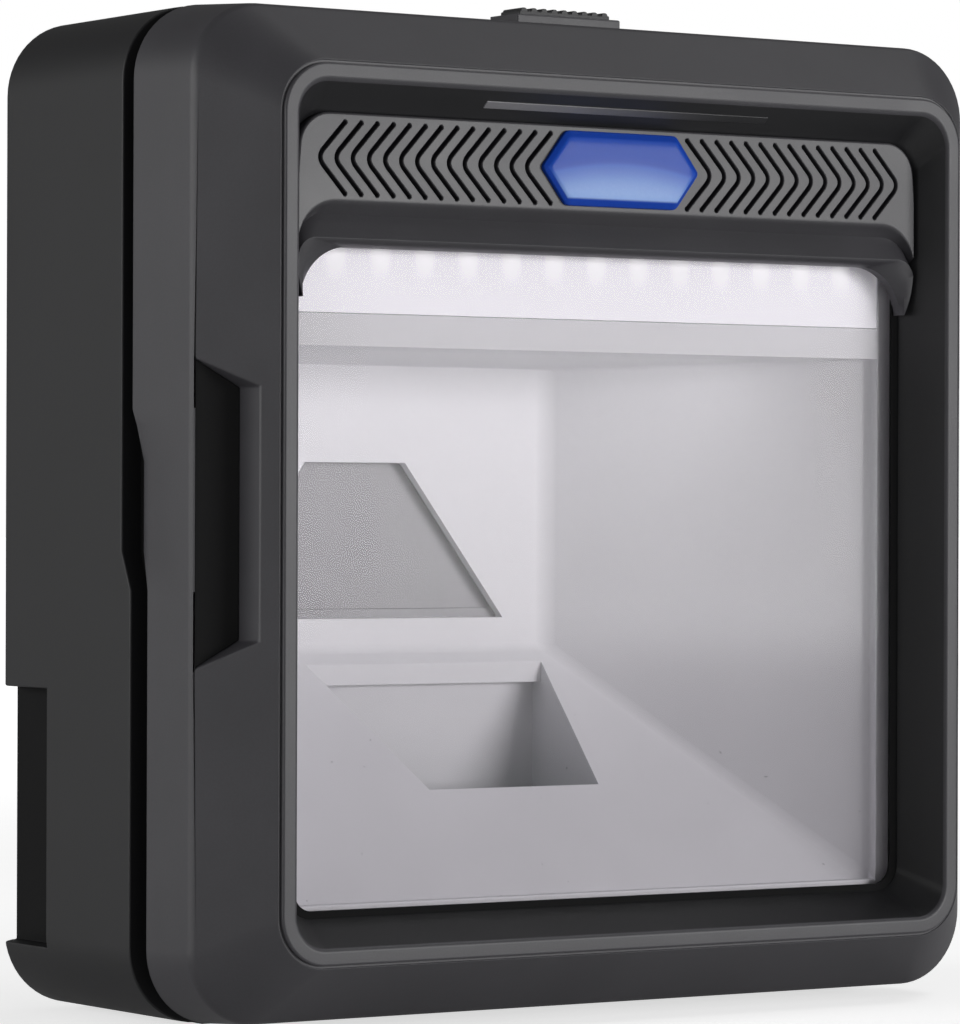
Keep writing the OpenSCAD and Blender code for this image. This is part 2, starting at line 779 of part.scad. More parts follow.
// Outline in width and depth that follows the side bevel between two depths below it
module under_bevel(x0, x1, deep0, deep1, half_h) {
    prism_z([[x0, bevel_at(x0) + deep0], [x0, bevel_at(x0) + deep1], [x1, bevel_at(x1) + deep1],
        [x1, bevel_at(x1) + deep0]], -half_h, half_h);
}

// Space of a pocket between two depths below the bevel
module pocket_space(gap, deep0, deep1) {
    x0 = pocket_x0 + gap;
    x1 = pocket_x1 - gap;
    intersection() {
        under_bevel(x0, x1, deep0, deep1, pocket_outer);
        prism_y([[x0, gap - pocket_inner], [x0, pocket_inner - gap], [x1, pocket_outer - gap],
            [x1, gap - pocket_outer]], -body_d, body_d);
    }
}

module pocket_block() {
    under_bevel(pocket_x0 - pocket_side, cavity_w / 2 + fuse, bevel_wall / 2, pocket_d + pocket_floor,
        pocket_outer + pocket_side);
}

module light_bar_space(gap, proud) {
    translate([-light_w / 2 - gap, front_y + light_back, mid_z + light_z])
        rotate([-light_angle, 0, 0])
            translate([0, -light_t / 2 - gap, -proud])
                cube([light_w + 2 * gap, light_t + 2 * gap, light_d + proud + gap]);
}

module front_posts() {
    rib_front = bevel_at(cavity_w / 2 + fuse) + fuse;
    both_sides() {
        rod(post_x, post_high_z, post_r, post_front, post_meet_high);
        rod(post_x, post_low_z, post_r, post_front, post_meet_low);
        for (z = [post_high_z, post_low_z])
            block(post_x, cavity_w / 2 + fuse, rib_front, seal_front - fit, z - post_rib / 2,
                z + post_rib / 2);
    }
}

module switch_posts() {
    both_sides()
        block(switch_half - switch_post_w, switch_half, button_front + fuse, button_back - fuse,
            switch_low, cavity_h / 2 + past);
}

module front_bezel() {
    color(shell_black)
        difference() {
            union() {
                difference() {
                    bezel_outside();
                    bezel_inside();
                }
                tall_slab(skirt_w, skirt_low, skirt_top, pane_r + skirt_t, skirt_front, skirt_back);
                both_sides() pocket_block();
                front_posts();
                switch_posts();
            }
            recess();
            brow_seat();
            tall_slab(pane_w + 2 * fit, pane_low - fit, pane_top + fit, pane_r + fit, recess_d,
                skirt_back + past);
            front_groove();
            both_sides() finger_facet();
            both_sides() pocket_space(0, -past, pocket_d);
            light_bar_space(fit / 2, past);
            plate(-speaker_x, slot_z, mouth_w, mouth_h, recess_d - past, seat_wall_back + past);
            tall_slab(pane_w + 2 * fit, pane_top + fit + lamp_roof, skirt_top - pocket_side,
                pane_r / 2, seat_wall_back, skirt_back + past);
            both_sides() for (z = [post_high_z, post_low_z]) rod(post_x, z, shank_r, screw_end, body_d);
            block(-button_w / 2 - fit, button_w / 2 + fit, button_front - fit, button_back + fit,
                collar_base - fit, body_h);
            block(-stem_w / 2 - stem_room, stem_w / 2 + stem_room, button_mid - stem_l / 2 - stem_room,
                button_mid + stem_l / 2 + stem_room, 0, body_h);
        }
}

module pocket_pad_right() {
    color(trim_black) pocket_space(fit, pocket_d - pad_t, pocket_d);
}

module pocket_pad_left() {
    mirror([1, 0, 0]) pocket_pad_right();
}

// Black band that closes the parting groove
module parting_seal() {
    color(trim_black)
        difference() {
            slab(cavity_w, cavity_h, cavity_r, seal_front, seal_back);
            slab(cavity_w - 2 * seal_t, cavity_h - 2 * seal_t, cavity_r - seal_t, seal_front - past,
                seal_back + past);
            block(-switch_half - past, switch_half + past, seal_front - past, button_back + fit, 0,
                body_h);
        }
}

// Window

module window_gasket() {
    color(trim_black)
        difference() {
            tall_slab(pane_w, pane_low, pane_top, pane_r, recess_d, pane_front);
            tall_slab(window_w, window_low, window_top + past, pane_r - past, recess_d - past,
                pane_front + past);
        }
}

module window_pane() {
    color(glass_clear, 0.35) tall_slab(pane_w, pane_low, pane_top, pane_r, pane_front, pane_back);
}

// Brow with its sound slots, badge and light bar

module brow_outline(d0, d1) {
    difference() {
        tall_slab(2 * brow_half, cheek_tip, brow_top, brow_r, d0, d1);
        tall_slab(window_w, window_low, window_top, window_r, d0 - past, d1 + past);
        both_sides()
            prism_y([[window_w / 2 - past, cheek_tip + cheek_cut_in],
                [brow_half + past, cheek_tip + cheek_cut_out], [brow_half + past, -body_h],
                [window_w / 2 - past, -body_h]], d0 - past, d1 + past);
    }
}

module brow_cover() {
    color(rim_grey)
        difference() {
            brow_outline(brow_d, recess_d);
            translate([-body_w / 2, front_y + scoop_d, mid_z + scoop_z])
                rotate([0, 90, 0]) cylinder(r = scoop_r, h = body_w);
            both_sides() for (i = [0:slot_count - 1])
                prism_y(chevron(slot_start + i * slot_pitch, slot_z), brow_d - past, recess_d + past);
        }
}

module badge_outline(inset) {
    point_x = badge_w / 2 - inset;
    flat_x = badge_w / 2 - badge_point;
    flat_z = badge_h / 2 - inset;
    polygon([[-point_x, 0], [-flat_x, flat_z], [flat_x, flat_z], [point_x, 0], [flat_x, -flat_z],
        [-flat_x, -flat_z]]);
}

module badge() {
    color(badge_blue)
        translate([0, front_y + brow_d, mid_z + slot_z]) rotate([90, 0, 0])
            hull() {
                linear_extrude(badge_edge) badge_outline(0);
                linear_extrude(badge_t) badge_outline(badge_border);
            }
}

module status_light_bar() {
    color(light_grey) light_bar_space(0, light_proud);
}

// Light chamber behind the window

module chamber_body(grow) {
    hull() {
        block(-chamber_half - grow, chamber_half + grow, flange_back - thin, flange_back,
            chamber_low - grow, chamber_high + grow);
        block(back_left - grow, back_right + grow, chamber_back + grow - thin, chamber_back + grow,
            back_low - grow, back_high + grow);
    }
}

module optical_chamber() {
    color(chamber_white)
        difference() {
            union() {
                chamber_body(chamber_wall);
                tall_slab(pane_w - 2 * fit, pane_low + fit, pane_top - fit, pane_r - fit, pane_back,
                    flange_back);
                block(-chamber_half - chamber_wall, chamber_half + chamber_wall, pane_back,
                    lamp_board_front, diffuser_top, diffuser_top + lamp_roof);
                both_sides() block(chamber_half, chamber_half + chamber_wall, pane_back,
                    lamp_board_front, diffuser_low, diffuser_top + lamp_roof);
            }
            chamber_body(0);
            block(-chamber_half, chamber_half, pane_back - past, flange_back + thin, chamber_low,
                chamber_high);
            block(-chamber_half, chamber_half, pane_back - past, flange_back + past, diffuser_low,
                diffuser_top);
            prism_y(aperture, chamber_back - past, back_face + past);
            prism_z(floor_aperture, aimer_low, back_low - past);
        }
}

module diffuser_strip() {
    color(diffuser_white)
        block(-chamber_half + fit, chamber_half - fit, pane_back, pane_back + diffuser_t,
            diffuser_low + fit, diffuser_top - fit);
}

module lamp_board() {
    color(board_green)
        block(-chamber_half - chamber_wall, chamber_half + chamber_wall, lamp_board_front,
            lamp_board_front + board_t, diffuser_low + fit, diffuser_top + lamp_roof);
}

module lamps() {
    color(lamp_cream)
        for (i = [0:lamp_count - 1])
            plate((i - (lamp_count - 1) / 2) * lamp_pitch, lamp_z, lamp_size, lamp_size,
                lamp_board_front - lamp_t, lamp_board_front);
}

// Camera behind the upper aperture

module camera_shroud() {
    color(chamber_white)
        difference() {
            block(camera_x - shroud_half, camera_x + shroud_half, back_face, camera_front, shroud_low,
                shroud_high);
            block(camera_x - shroud_half + shroud_wall, camera_x + shroud_half - shroud_wall,
                back_face - past, camera_front + past, shroud_low + shroud_wall,
                shroud_high - shroud_wall);
        }
}

module camera_board() {
    color(board_green)
        block(camera_x - shroud_half, camera_x + shroud_half, camera_front,
            camera_front + camera_board_t, shroud_low, shroud_high);
}

module image_sensor() {
    color(chip_black)
        plate(camera_x, camera_z, sensor_size, sensor_size, camera_front - sensor_t, camera_front);
}

module lens_barrel() {
    color(trim_black)
        difference() {
            rod(camera_x, camera_z, barrel_r, barrel_front, camera_front);
            rod(camera_x, camera_z, barrel_bore, barrel_front - past, camera_front + past);
        }
}

module lens() {
    color("#20262c", 0.6)
        rod(camera_x, camera_z, barrel_bore, barrel_front + lens_in, barrel_front + lens_in + lens_t);
}

// Aiming light below the floor aperture

module lower_shroud() {
    color(chamber_white)
        difference() {
            block(aimer_x - aimer_half, aimer_x + aimer_half, aimer_d0, aimer_d1, aimer_low,
                back_low - chamber_wall);
            block(aimer_x - aimer_half + shroud_wall, aimer_x + aimer_half - shroud_wall,
                aimer_d0 + shroud_wall, aimer_d1 - shroud_wall, aimer_seat, 0);
            chamber_body(chamber_wall);
        }
}

module aimer_board() {
    inset = shroud_wall + fit;
    color(board_green)
        block(aimer_x - aimer_half + inset, aimer_x + aimer_half - inset, aimer_d0 + inset,
            aimer_d1 - inset, aimer_seat, aimer_seat + aimer_board_t);
}

module aimer_lens() {
    color("#c9d4dd", 0.6)
        translate([aimer_x, front_y + (floor_d0 + floor_d1) / 2, mid_z + aimer_seat + aimer_board_t]) {
            cylinder(r = aimer_r, h = aimer_h);
            translate([0, 0, aimer_h]) cylinder(r1 = aimer_r, r2 = aimer_r - aimer_tip, h = aimer_tip);
        }
}

// Speaker and boards

module speaker() {
    color(chip_black)
        difference() {
            plate(-speaker_x, slot_z, speaker_w, speaker_h, seat_wall_back, seat_wall_back + speaker_t);
            plate(-speaker_x, slot_z, mouth_w, mouth_h, seat_wall_back - past, seat_wall_back + mouth_d);
        }
}

module standoffs(r, d0, d1) {
    both_sides() for (z = [main_low + board_screw_in, main_top - board_screw_in])
        rod(standoff_x, z, r, d0, d1);
}

module main_board() {
    color(board_green)
        difference() {
            block(-main_half, main_half, main_front, main_back, main_low, main_top);
            standoffs(shank_r + fit, main_front - past, main_back + past);
        }
}

module board_chips() {
    chip_z = main_top - chip_down;
    color(chip_black) {
        plate(0, chip_z, processor_w, processor_w, main_front - chip_t, main_front);
        for (x = [-chip_pitch, chip_pitch])
            plate(x, chip_z, memory_w, memory_h, main_front - chip_t, main_front);
        plate(port_x, port_high + power_up + power_h / 2, memory_w, power_h, main_front - chip_t,
            main_front);
    }
}

module board_screws() {
    color(steel) {
        standoffs(board_head_r, main_front - board_head_h, main_front);
        standoffs(shank_r, main_front, main_back + screw_bite);
    }
}

module host_port() {
    color(steel)
        difference() {
            block(port_x - port_w / 2, port_x + port_w / 2, port_front, port_back, bay_top_z, port_high);
            block(port_x - port_w / 2 + port_wall, port_x + port_w / 2 - port_wall,
                port_front + port_wall, port_back - port_wall, bay_top_z - past, port_high - port_end);
        }
}

// Rear housing

module rear_outside() {
    hull() {
        slab(body_w, body_h, corner_r + band_taper / 2, groove_rear_low, body_d - rear_chamfer);
        slab(body_w - 2 * rear_chamfer, body_h - 2 * rear_chamfer, corner_r - rear_chamfer / 2,
            body_d - thin, body_d);
    }
}

module insert_rods(r, d0, d1) {
    both_sides() rod(insert_pitch / 2, insert_up, r, d0, d1);
}

module foot_space(w, mid, l, gap, low) {
    block(foot_reach - w - gap, foot_reach + gap, mid - l / 2 - gap, mid + l / 2 + gap, low,
        foot_seat - body_h / 2);
}

module cover_bosses() {
    both_sides()
        difference() {
            rod(cover_screw_x, cover_screw_z, cover_boss_r, bay_front, cover_front);
            rod(cover_screw_x, cover_screw_z, shank_r, bay_front + cover_boss_floor, cover_front + past);
        }
}

// Walls and bosses inside the rear shell
module rear_inside() {
    block(-cavity_w / 2 - fuse, cavity_w / 2 + fuse, bay_front - bay_wall, body_d - past,
        bay_low_z - bay_wall, bay_top_z + bay_wall);
    both_sides() {
        rod(post_x, post_high_z, post_r, post_meet_high, rear_face + past);
        rod(post_x, post_low_z, post_r, post_meet_low, bay_front);
    }
    standoffs(standoff_r, main_back, rear_face + past);
    insert_rods(insert_r + insert_boss, body_d - insert_l, rear_face + past);
}

module rear_housing() {
    color(shell_black) {
        difference() {
            union() {
                difference() {
                    rear_outside();
                    slab(cavity_w, cavity_h, cavity_r, groove_rear_low - past, rear_face);
                    rear_groove();
                }
                rear_inside();
            }
            block(-bay_in_half, bay_in_half, bay_front, body_d + past, bay_low_z, bay_top_z);
            both_sides() block(bay_half, body_w, bay_front, body_d + past, bay_low_z, bay_top_z);
            both_sides() for (z = [post_high_z, post_low_z]) {
                rod(post_x, z, head_r + fit, head_d, body_d + past);
                rod(post_x, z, shank_r + fit, 0, body_d);
            }
            standoffs(shank_r, 0, main_back + screw_bite + fuse);
            insert_rods(insert_r, 0, body_d + past);
            block(port_x - port_w / 2 - fit, port_x + port_w / 2 + fit, port_front - fit, port_back + fit,
                bay_top_z - past, bay_top_z + bay_wall + past);
            both_sides() {
                foot_space(foot_front_w, foot_front_mid, foot_front_l, fit, -body_h);
                foot_space(foot_rear_w, foot_rear_mid, foot_rear_l, fit, -body_h);
            }
        }
        cover_bosses();
    }
}

module cable_cover() {
    color(trim_black)
        difference() {
            block(-bay_in_half + fit, bay_in_half - fit, cover_front, body_d, bay_low_z + fit,
                bay_top_z - fit);
            block(-cord_slot_w / 2, cord_slot_w / 2, cover_front - past, body_d + past, -body_h,
                bay_low_z + cord_slot_h);
            both_sides() {
                rod(cover_screw_x, cover_screw_z, shank_r + fit, cover_front - past, body_d + past);
                rod(cover_screw_x, cover_screw_z, head_r + fit, body_d - cover_head_h, body_d + past);
            }
        }
}

module cover_screws() {
    head_front = body_d - cover_head_h;
    color(steel) both_sides() {
        rod(cover_screw_x, cover_screw_z, head_r, head_front, body_d);
        rod(cover_screw_x, cover_screw_z, shank_r, cover_front - cover_screw_l, head_front);
    }
}

module housing_screws() {
    color(steel) both_sides() for (z = [post_high_z, post_low_z]) {
        rod(post_x, z, head_r, head_d, head_d + head_h);
        rod(post_x, z, shank_r, screw_end, head_d);
    }
}

module mount_inserts() {
    color(brass)
        difference() {
            insert_rods(insert_r, body_d - insert_l, body_d);
            insert_rods(insert_hole_r, body_d - insert_l - past, body_d + past);
        }
}

// Feet

module foot(w, mid, l) {
    color(rubber_black) foot_space(w, mid, l, 0, -body_h / 2 - foot_h);
}

module foot_front_right() {
    foot(foot_front_w, foot_front_mid, foot_front_l);
}

module foot_front_left() {
    mirror([1, 0, 0]) foot_front_right();
}

module foot_rear_right() {
    foot(foot_rear_w, foot_rear_mid, foot_rear_l);
}

module foot_rear_left() {
    mirror([1, 0, 0]) foot_rear_right();
}

// Push button on the top

module button_collar() {
    color(shell_black)
        difference() {
            block(-button_w / 2, button_w / 2, button_front, button_back, collar_base,
                body_top + collar_h);
            block(-button_w / 2 + collar_rim, button_w / 2 - collar_rim, button_front + collar_rim,
                button_back - collar_rim, 0, body_h);
        }
}

module button_cap() {
    rib_pitch = cap_w / cap_ribs;
    stem_d0 = button_mid - stem_l / 2;
    stem_d1 = button_mid + stem_l / 2;
    color(trim_black)
        difference() {
            union() {
                block(-cap_w / 2, cap_w / 2, button_mid - cap_l / 2, button_mid + cap_l / 2,
                    body_top - cap_seat, body_top + cap_h);
                block(-stem_w / 2, stem_w / 2, stem_d0, stem_d1, stem_end, body_top);
                block(-stem_w / 2 - clip_out, stem_w / 2 + clip_out, stem_d0, stem_d1, stem_end,
                    stem_end + clip_t);
            }
            for (i = [1:cap_ribs - 1])
                translate([i * rib_pitch - cap_w / 2, 0, 0])
                    block(-rib_pitch / 4, rib_pitch / 4, 0, body_d, body_top + cap_h - rib_h, body_h);
        }
}

module button_switch() {
    color(steel)
        block(-switch_w / 2, switch_w / 2, button_mid - switch_l / 2, button_mid + switch_l / 2,
            switch_low, switch_top);
}

module switch_board() {
    color(board_green)
        block(-switch_half, switch_half, button_front + fuse, button_back - fuse,
            switch_low - switch_board_t, switch_low);
}

front_bezel();
rear_housing();
parting_seal();
window_pane();
window_gasket();
brow_cover();
badge();
status_light_bar();
pocket_pad_left();
pocket_pad_right();
optical_chamber();
diffuser_strip();
lamp_board();
lamps();
camera_shroud();
camera_board();
lens_barrel();
lens();
image_sensor();
lower_shroud();
aimer_board();
aimer_lens();
speaker();
main_board();
board_chips();
host_port();
cable_cover();
cover_screws();
housing_screws();
board_screws();
mount_inserts();
foot_front_left();
foot_front_right();
foot_rear_left();
foot_rear_right();
button_collar();
button_cap();
button_switch();
switch_board();
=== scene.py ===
"""Looks of a hands-free barcode scanner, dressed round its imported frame.

Sizes are in millimetres. Depths are measured back from the front rim, and heights up or down from the
middle of the body.
"""

import json
import logging
import math
from contextlib import contextmanager
from dataclasses import astuple, dataclass
from enum import Enum
from typing import Any, Callable, Iterator, Sequence

import bmesh
import bpy
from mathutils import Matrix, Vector

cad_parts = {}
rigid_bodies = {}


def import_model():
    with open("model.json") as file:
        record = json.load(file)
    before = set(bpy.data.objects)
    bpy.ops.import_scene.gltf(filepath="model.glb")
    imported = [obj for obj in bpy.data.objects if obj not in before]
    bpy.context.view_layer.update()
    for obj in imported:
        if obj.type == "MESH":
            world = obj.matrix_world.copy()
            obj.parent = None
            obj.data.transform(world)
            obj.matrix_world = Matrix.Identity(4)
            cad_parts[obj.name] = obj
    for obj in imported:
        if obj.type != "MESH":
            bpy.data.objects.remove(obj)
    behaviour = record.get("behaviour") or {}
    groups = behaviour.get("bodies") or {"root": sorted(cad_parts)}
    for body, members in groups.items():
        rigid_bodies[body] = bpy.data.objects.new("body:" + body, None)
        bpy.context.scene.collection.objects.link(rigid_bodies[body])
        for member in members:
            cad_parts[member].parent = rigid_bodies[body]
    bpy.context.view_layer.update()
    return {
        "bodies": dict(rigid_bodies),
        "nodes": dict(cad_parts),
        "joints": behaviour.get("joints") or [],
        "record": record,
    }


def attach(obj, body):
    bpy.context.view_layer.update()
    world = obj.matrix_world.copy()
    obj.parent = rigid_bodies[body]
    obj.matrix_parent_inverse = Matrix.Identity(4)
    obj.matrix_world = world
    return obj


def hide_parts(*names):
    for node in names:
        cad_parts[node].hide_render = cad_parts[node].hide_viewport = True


LOG = logging.getLogger("scanner")
MM = 0.001
FRONT_Y = -34.0
MID_Z = 76.8
WEIGHT_LAYER = "bevel_weight_edge"
SIDES = (-1, 1)
WHITE = "#ffffff"
PLASTIC_IOR = 1.5
NODE_MERGE = 1.2e-5
NODE_FLAT = 0.006

# Sizes that more than one piece uses

EDGE_HALF = 72.0
BEVEL_IN = 9.1
BEVEL_D = 11.0
CAVITY_HALF = 69.8
CAVITY_HIGH = 72.8
CAVITY_R = 8.0
POST_X = 64.2
POST_R = 3.2
POST_HEIGHTS = (50.0, -45.0)
POST_MEETS = (28.0, 21.9)
COVER_SCREW_X = 43.5
COVER_SCREW_Z = -46.4
BADGE_HALF = 14.65
BADGE_HALF_H = 5.7
BADGE_MIDDLE = 52.55
APERTURE_MORE = 5.2

Piece = bpy.types.Object
Material = bpy.types.Material
Point2 = tuple[float, float]
Point3 = tuple[float, float, float]
Colour = tuple[float, ...]
Noise = tuple[float, float, float]
Box = tuple[Point2, Point2, Point2]
Input = Any
EdgeRule = Callable[[bmesh.types.BMEdge], float]


class Body(Enum):
    """The bodies that pieces ride on."""

    HOUSING = "housing"
    BUTTON = "button"


def place(x: float, d: float, z: float) -> Vector:
    """Point of the frame, in metres, from its side, depth and height."""
    return Vector((x * MM, (FRONT_Y + d) * MM, (MID_Z + z) * MM))


def spot_of(point: Vector) -> Point3:
    """Side, depth and height of a point of the frame."""
    return (point.x / MM, point.y / MM - FRONT_Y, point.z / MM - MID_Z)


def inside(value: float, span: Point2) -> bool:
    """Whether a value lies between two limits."""
    return span[0] < value < span[1]


def blend(a: float, b: float, t: float) -> float:
    """Value between a and b."""
    return a + (b - a) * t


def under_bevel(x: float, deep: float) -> float:
    """Depth of a point under the front frame's side bevel."""
    return BEVEL_D - (EDGE_HALF - x) * BEVEL_D / BEVEL_IN + deep


def linear(code: str) -> Colour:
    """Scene-linear colour of a hex code, by the standard curve of screens.

    Args:
        code: The hex code.

    Returns:
        Red, green, blue and full cover.
    """
    parts = [int(code[i:i + 2], 16) / 255 for i in (1, 3, 5)]
    red, green, blue = (p / 12.92 if p <= 0.04045 else ((p + 0.055) / 1.055) ** 2.4 for p in parts)
    return (red, green, blue, 1.0)


def scaled(colour: Colour, factor: float) -> Colour:
    """Darker or lighter colour."""
    return tuple(min(1.0, c * factor) for c in colour[:3]) + (1.0,)


# Shader maths


class Shade:
    """One output socket of a shader node, with the arithmetic that the finishes use."""

    def __init__(self, tree: "Tree", socket: bpy.types.NodeSocket) -> None:
        """Wrap a socket of a tree."""
        self.tree = tree
        self.socket = socket

    def __add__(self, other: Input) -> "Shade":
        """This value plus another."""
        return self.tree.maths("ADD", self, other)

    def __radd__(self, other: Input) -> "Shade":
        """Another value plus this one."""
        return self.tree.maths("ADD", other, self)

    def __sub__(self, other: Input) -> "Shade":
        """This value minus another."""
        return self.tree.maths("SUBTRACT", self, other)

    def __rsub__(self, other: Input) -> "Shade":
        """Another value minus this one."""
        return self.tree.maths("SUBTRACT", other, self)

    def __mul__(self, other: Input) -> "Shade":
        """This value times another."""
        return self.tree.maths("MULTIPLY", self, other)

    def __rmul__(self, other: Input) -> "Shade":
        """Another value times this one."""
        return self.tree.maths("MULTIPLY", other, self)

    def __truediv__(self, other: Input) -> "Shade":
        """This value over another."""
        return self.tree.maths("DIVIDE", self, other)

    def __rtruediv__(self, other: Input) -> "Shade":
        """Another value over this one."""
        return self.tree.maths("DIVIDE", other, self)

    def step(self, low: float, high: float, start: float = 0.0, end: float = 1.0) -> "Shade":
        """Smooth step of this value between two limits.

        Args:
            low: Value at which the step starts.
            high: Value at which the step ends.
            start: Result below low.
            end: Result above high.

        Returns:
            The stepped value.
        """
        settings = {"interpolation_type": "SMOOTHSTEP"}
        inputs = {"Value": self, "From Min": low, "From Max": high, "To Min": start, "To Max": end}
        return self.tree.node("ShaderNodeMapRange", settings, inputs)

    def part(self, name: str) -> "Shade":
        """X, Y or Z of this vector."""
        return self.tree.node("ShaderNodeSeparateXYZ", {}, {0: self}, name)


class Tree:
    """Node tree of one material or of the world."""

    def __init__(self, owner: bpy.types.ID) -> None:
        """Start an empty tree.

        Args:
            owner: The material or world that the tree belongs to.
        """
        owner.use_nodes = True
        self.nodes = owner.node_tree.nodes
        self.links = owner.node_tree.links
        self.nodes.clear()

    def node(self, kind: str, settings: dict[str, Any], inputs: dict[Any, Input],
             output: int | str = 0) -> Shade:
        """Add a node.

        Args:
            kind: The node's type.
            settings: The node's own settings.
            inputs: Values or links by socket name or number.
            output: Name or number of the output wanted.

        Returns:
            The output socket.
        """
        made = self.nodes.new(kind)
        for key, value in settings.items():
            setattr(made, key, value)
        for key, value in inputs.items():
            if isinstance(value, Shade):
                self.links.new(value.socket, made.inputs[key])
            else:
                made.inputs[key].default_value = value
        return Shade(self, made.outputs[output])

    def maths(self, operation: str, *values: Input) -> Shade:
        """Result of a Math node."""
        return self.node("ShaderNodeMath", {"operation": operation}, dict(enumerate(values)))

    def spot(self) -> Shade:
        """Object coordinates."""
        return self.node("ShaderNodeTexCoord", {}, {}, "Object")

    def noise(self, scale: float, detail: float, roughness: float) -> Shade:
        """Noise from 0 to 1 with features of about 1 / scale metres."""
        inputs = {"Vector": self.spot(), "Scale": scale, "Detail": detail, "Roughness": roughness}
        return self.node("ShaderNodeTexNoise", {}, inputs, "Fac")

    def colours(self, a: Input, b: Input, factor: Input) -> Shade:
        """Mix of two colours, by the numbers of the node's colour sockets."""
        return self.node("ShaderNodeMix", {"data_type": "RGBA"}, {0: factor, 6: a, 7: b}, 2)

    def bump(self, height: Shade, depth: float) -> Shade:
        """Normal of a relief, its depth in millimetres."""
        return self.node("ShaderNodeBump", {}, {"Height": height, "Distance": depth * MM, "Strength": 1.0})

    def principled(self, inputs: dict[str, Input]) -> Shade:
        """Principled shader."""
        return self.node("ShaderNodeBsdfPrincipled", {}, inputs)

    def seen_by(self, ray: str) -> Shade:
        """1 for rays of the named kind, otherwise 0."""
        return self.node("ShaderNodeLightPath", {}, {}, f"Is {ray} Ray")

    def end(self, shader: Shade, kind: str = "ShaderNodeOutputMaterial") -> None:
        """End the tree in a shader."""
        self.links.new(shader.socket, self.nodes.new(kind).inputs["Surface"])


# Finishes


@dataclass(frozen=True)
class Finish:
    """A named material, whose kinds each fill the tree in their own way."""

    name: str

    def shader(self, tree: Tree) -> Shade:
        """Closing shader of the tree."""
        raise NotImplementedError

    def make(self) -> Material:
        """Build the material.

        Returns:
            The new material.
        """
        material = bpy.data.materials.new(self.name)
        tree = Tree(material)
        tree.end(self.shader(tree))
        return material


@dataclass(frozen=True)
class MouldedPlastic(Finish):
    """Plastic with a fine spark-eroded grain, slight mottling and faint handling marks."""

    colour: str
    roughness: float = 0.46
    grain: float = 3200.0
    grain_depth: float = 0.012
    mottle: float = 0.12
    specular: float = 0.5
    wear: float = 0.05
    grain_noise: Point2 = (2.0, 0.7)
    cloud: Noise = (38.0, 3.0, 0.6)
    cloud_share: float = 0.7
    mottle_step: Point2 = (0.3, 0.7)
    marks: Noise = (16.0, 4.0, 0.65)
    mark_step: Point2 = (0.5, 0.78)

    def shader(self, tree: Tree) -> Shade:
        """Closing shader of the tree.

        Args:
            tree: The material's tree.

        Returns:
            The shader.
        """
        base = linear(self.colour)
        cloud = tree.noise(*self.cloud)
        fine = tree.noise(self.grain, *self.grain_noise)
        mix = (cloud * self.cloud_share + fine * (1 - self.cloud_share)).step(*self.mottle_step)
        handled = tree.noise(*self.marks).step(*self.mark_step)
        rough = cloud * (2 * self.wear) + (self.roughness - self.wear) - handled * self.wear
        return tree.principled({
            "Base Color": tree.colours(scaled(base, 1 - self.mottle), scaled(base, 1 + self.mottle), mix),
            "Roughness": rough, "IOR": PLASTIC_IOR, "Specular IOR Level": self.specular,
            "Normal": tree.bump(fine, self.grain_depth)})


@dataclass(frozen=True)
class ChamberPaint(Finish):
    """Pale satin plastic of the light chamber, with soft flow marks and a few specks."""

    colour: str
    roughness: float = 0.55
    spread: float = 0.1
    shadow: float = 0.95
    flow: Noise = (22.0, 4.0, 0.55)
    flow_step: Point2 = (0.35, 0.65)
    specks: Noise = (1300.0, 0.0, 0.5)
    speck_step: Point2 = (0.86, 0.88)
    speck: str = "#8f8e93"
    speck_share: float = 0.5
    grain: Noise = (1800.0, 2.0, 0.7)
    grain_depth: float = 0.006

    def shader(self, tree: Tree) -> Shade:
        """Closing shader of the tree.

        Args:
            tree: The material's tree.

        Returns:
            The shader.
        """
        base = linear(self.colour)
        flow = tree.noise(*self.flow)
        colour = tree.colours(scaled(base, self.shadow), base, flow.step(*self.flow_step))
        speck = tree.noise(*self.specks).step(*self.speck_step)
        return tree.principled({
            "Base Color": tree.colours(colour, linear(self.speck), speck * self.speck_share),
            "Roughness": flow * self.spread + (self.roughness - self.spread / 2), "IOR": PLASTIC_IOR,
            "Normal": tree.bump(tree.noise(*self.grain), self.grain_depth)})


@dataclass(frozen=True)
class ClearPane(Finish):
    """Clear pane: see-through, with a thin gloss by Fresnel."""

    tint: str = "#fefdfe"
    ior: float = 1.17
    roughness: float = 0.06
    spread: float = 0.05
    smudge: Noise = (30.0, 4.0, 0.6)

    def shader(self, tree: Tree) -> Shade:
        """Closing shader of the tree.

        Args:
            tree: The material's tree.

        Returns:
            The shader.
        """
        rough = tree.noise(*self.smudge) * self.spread + self.roughness
        clear = tree.node("ShaderNodeBsdfTransparent", {}, {"Color": linear(self.tint)})
        gloss = tree.principled({"Base Color": linear(WHITE), "Metallic": 1.0, "Roughness": rough})
        factor = tree.node("ShaderNodeFresnel", {}, {"IOR": self.ior})
        return tree.node("ShaderNodeMixShader", {}, {0: factor, 1: clear, 2: gloss})


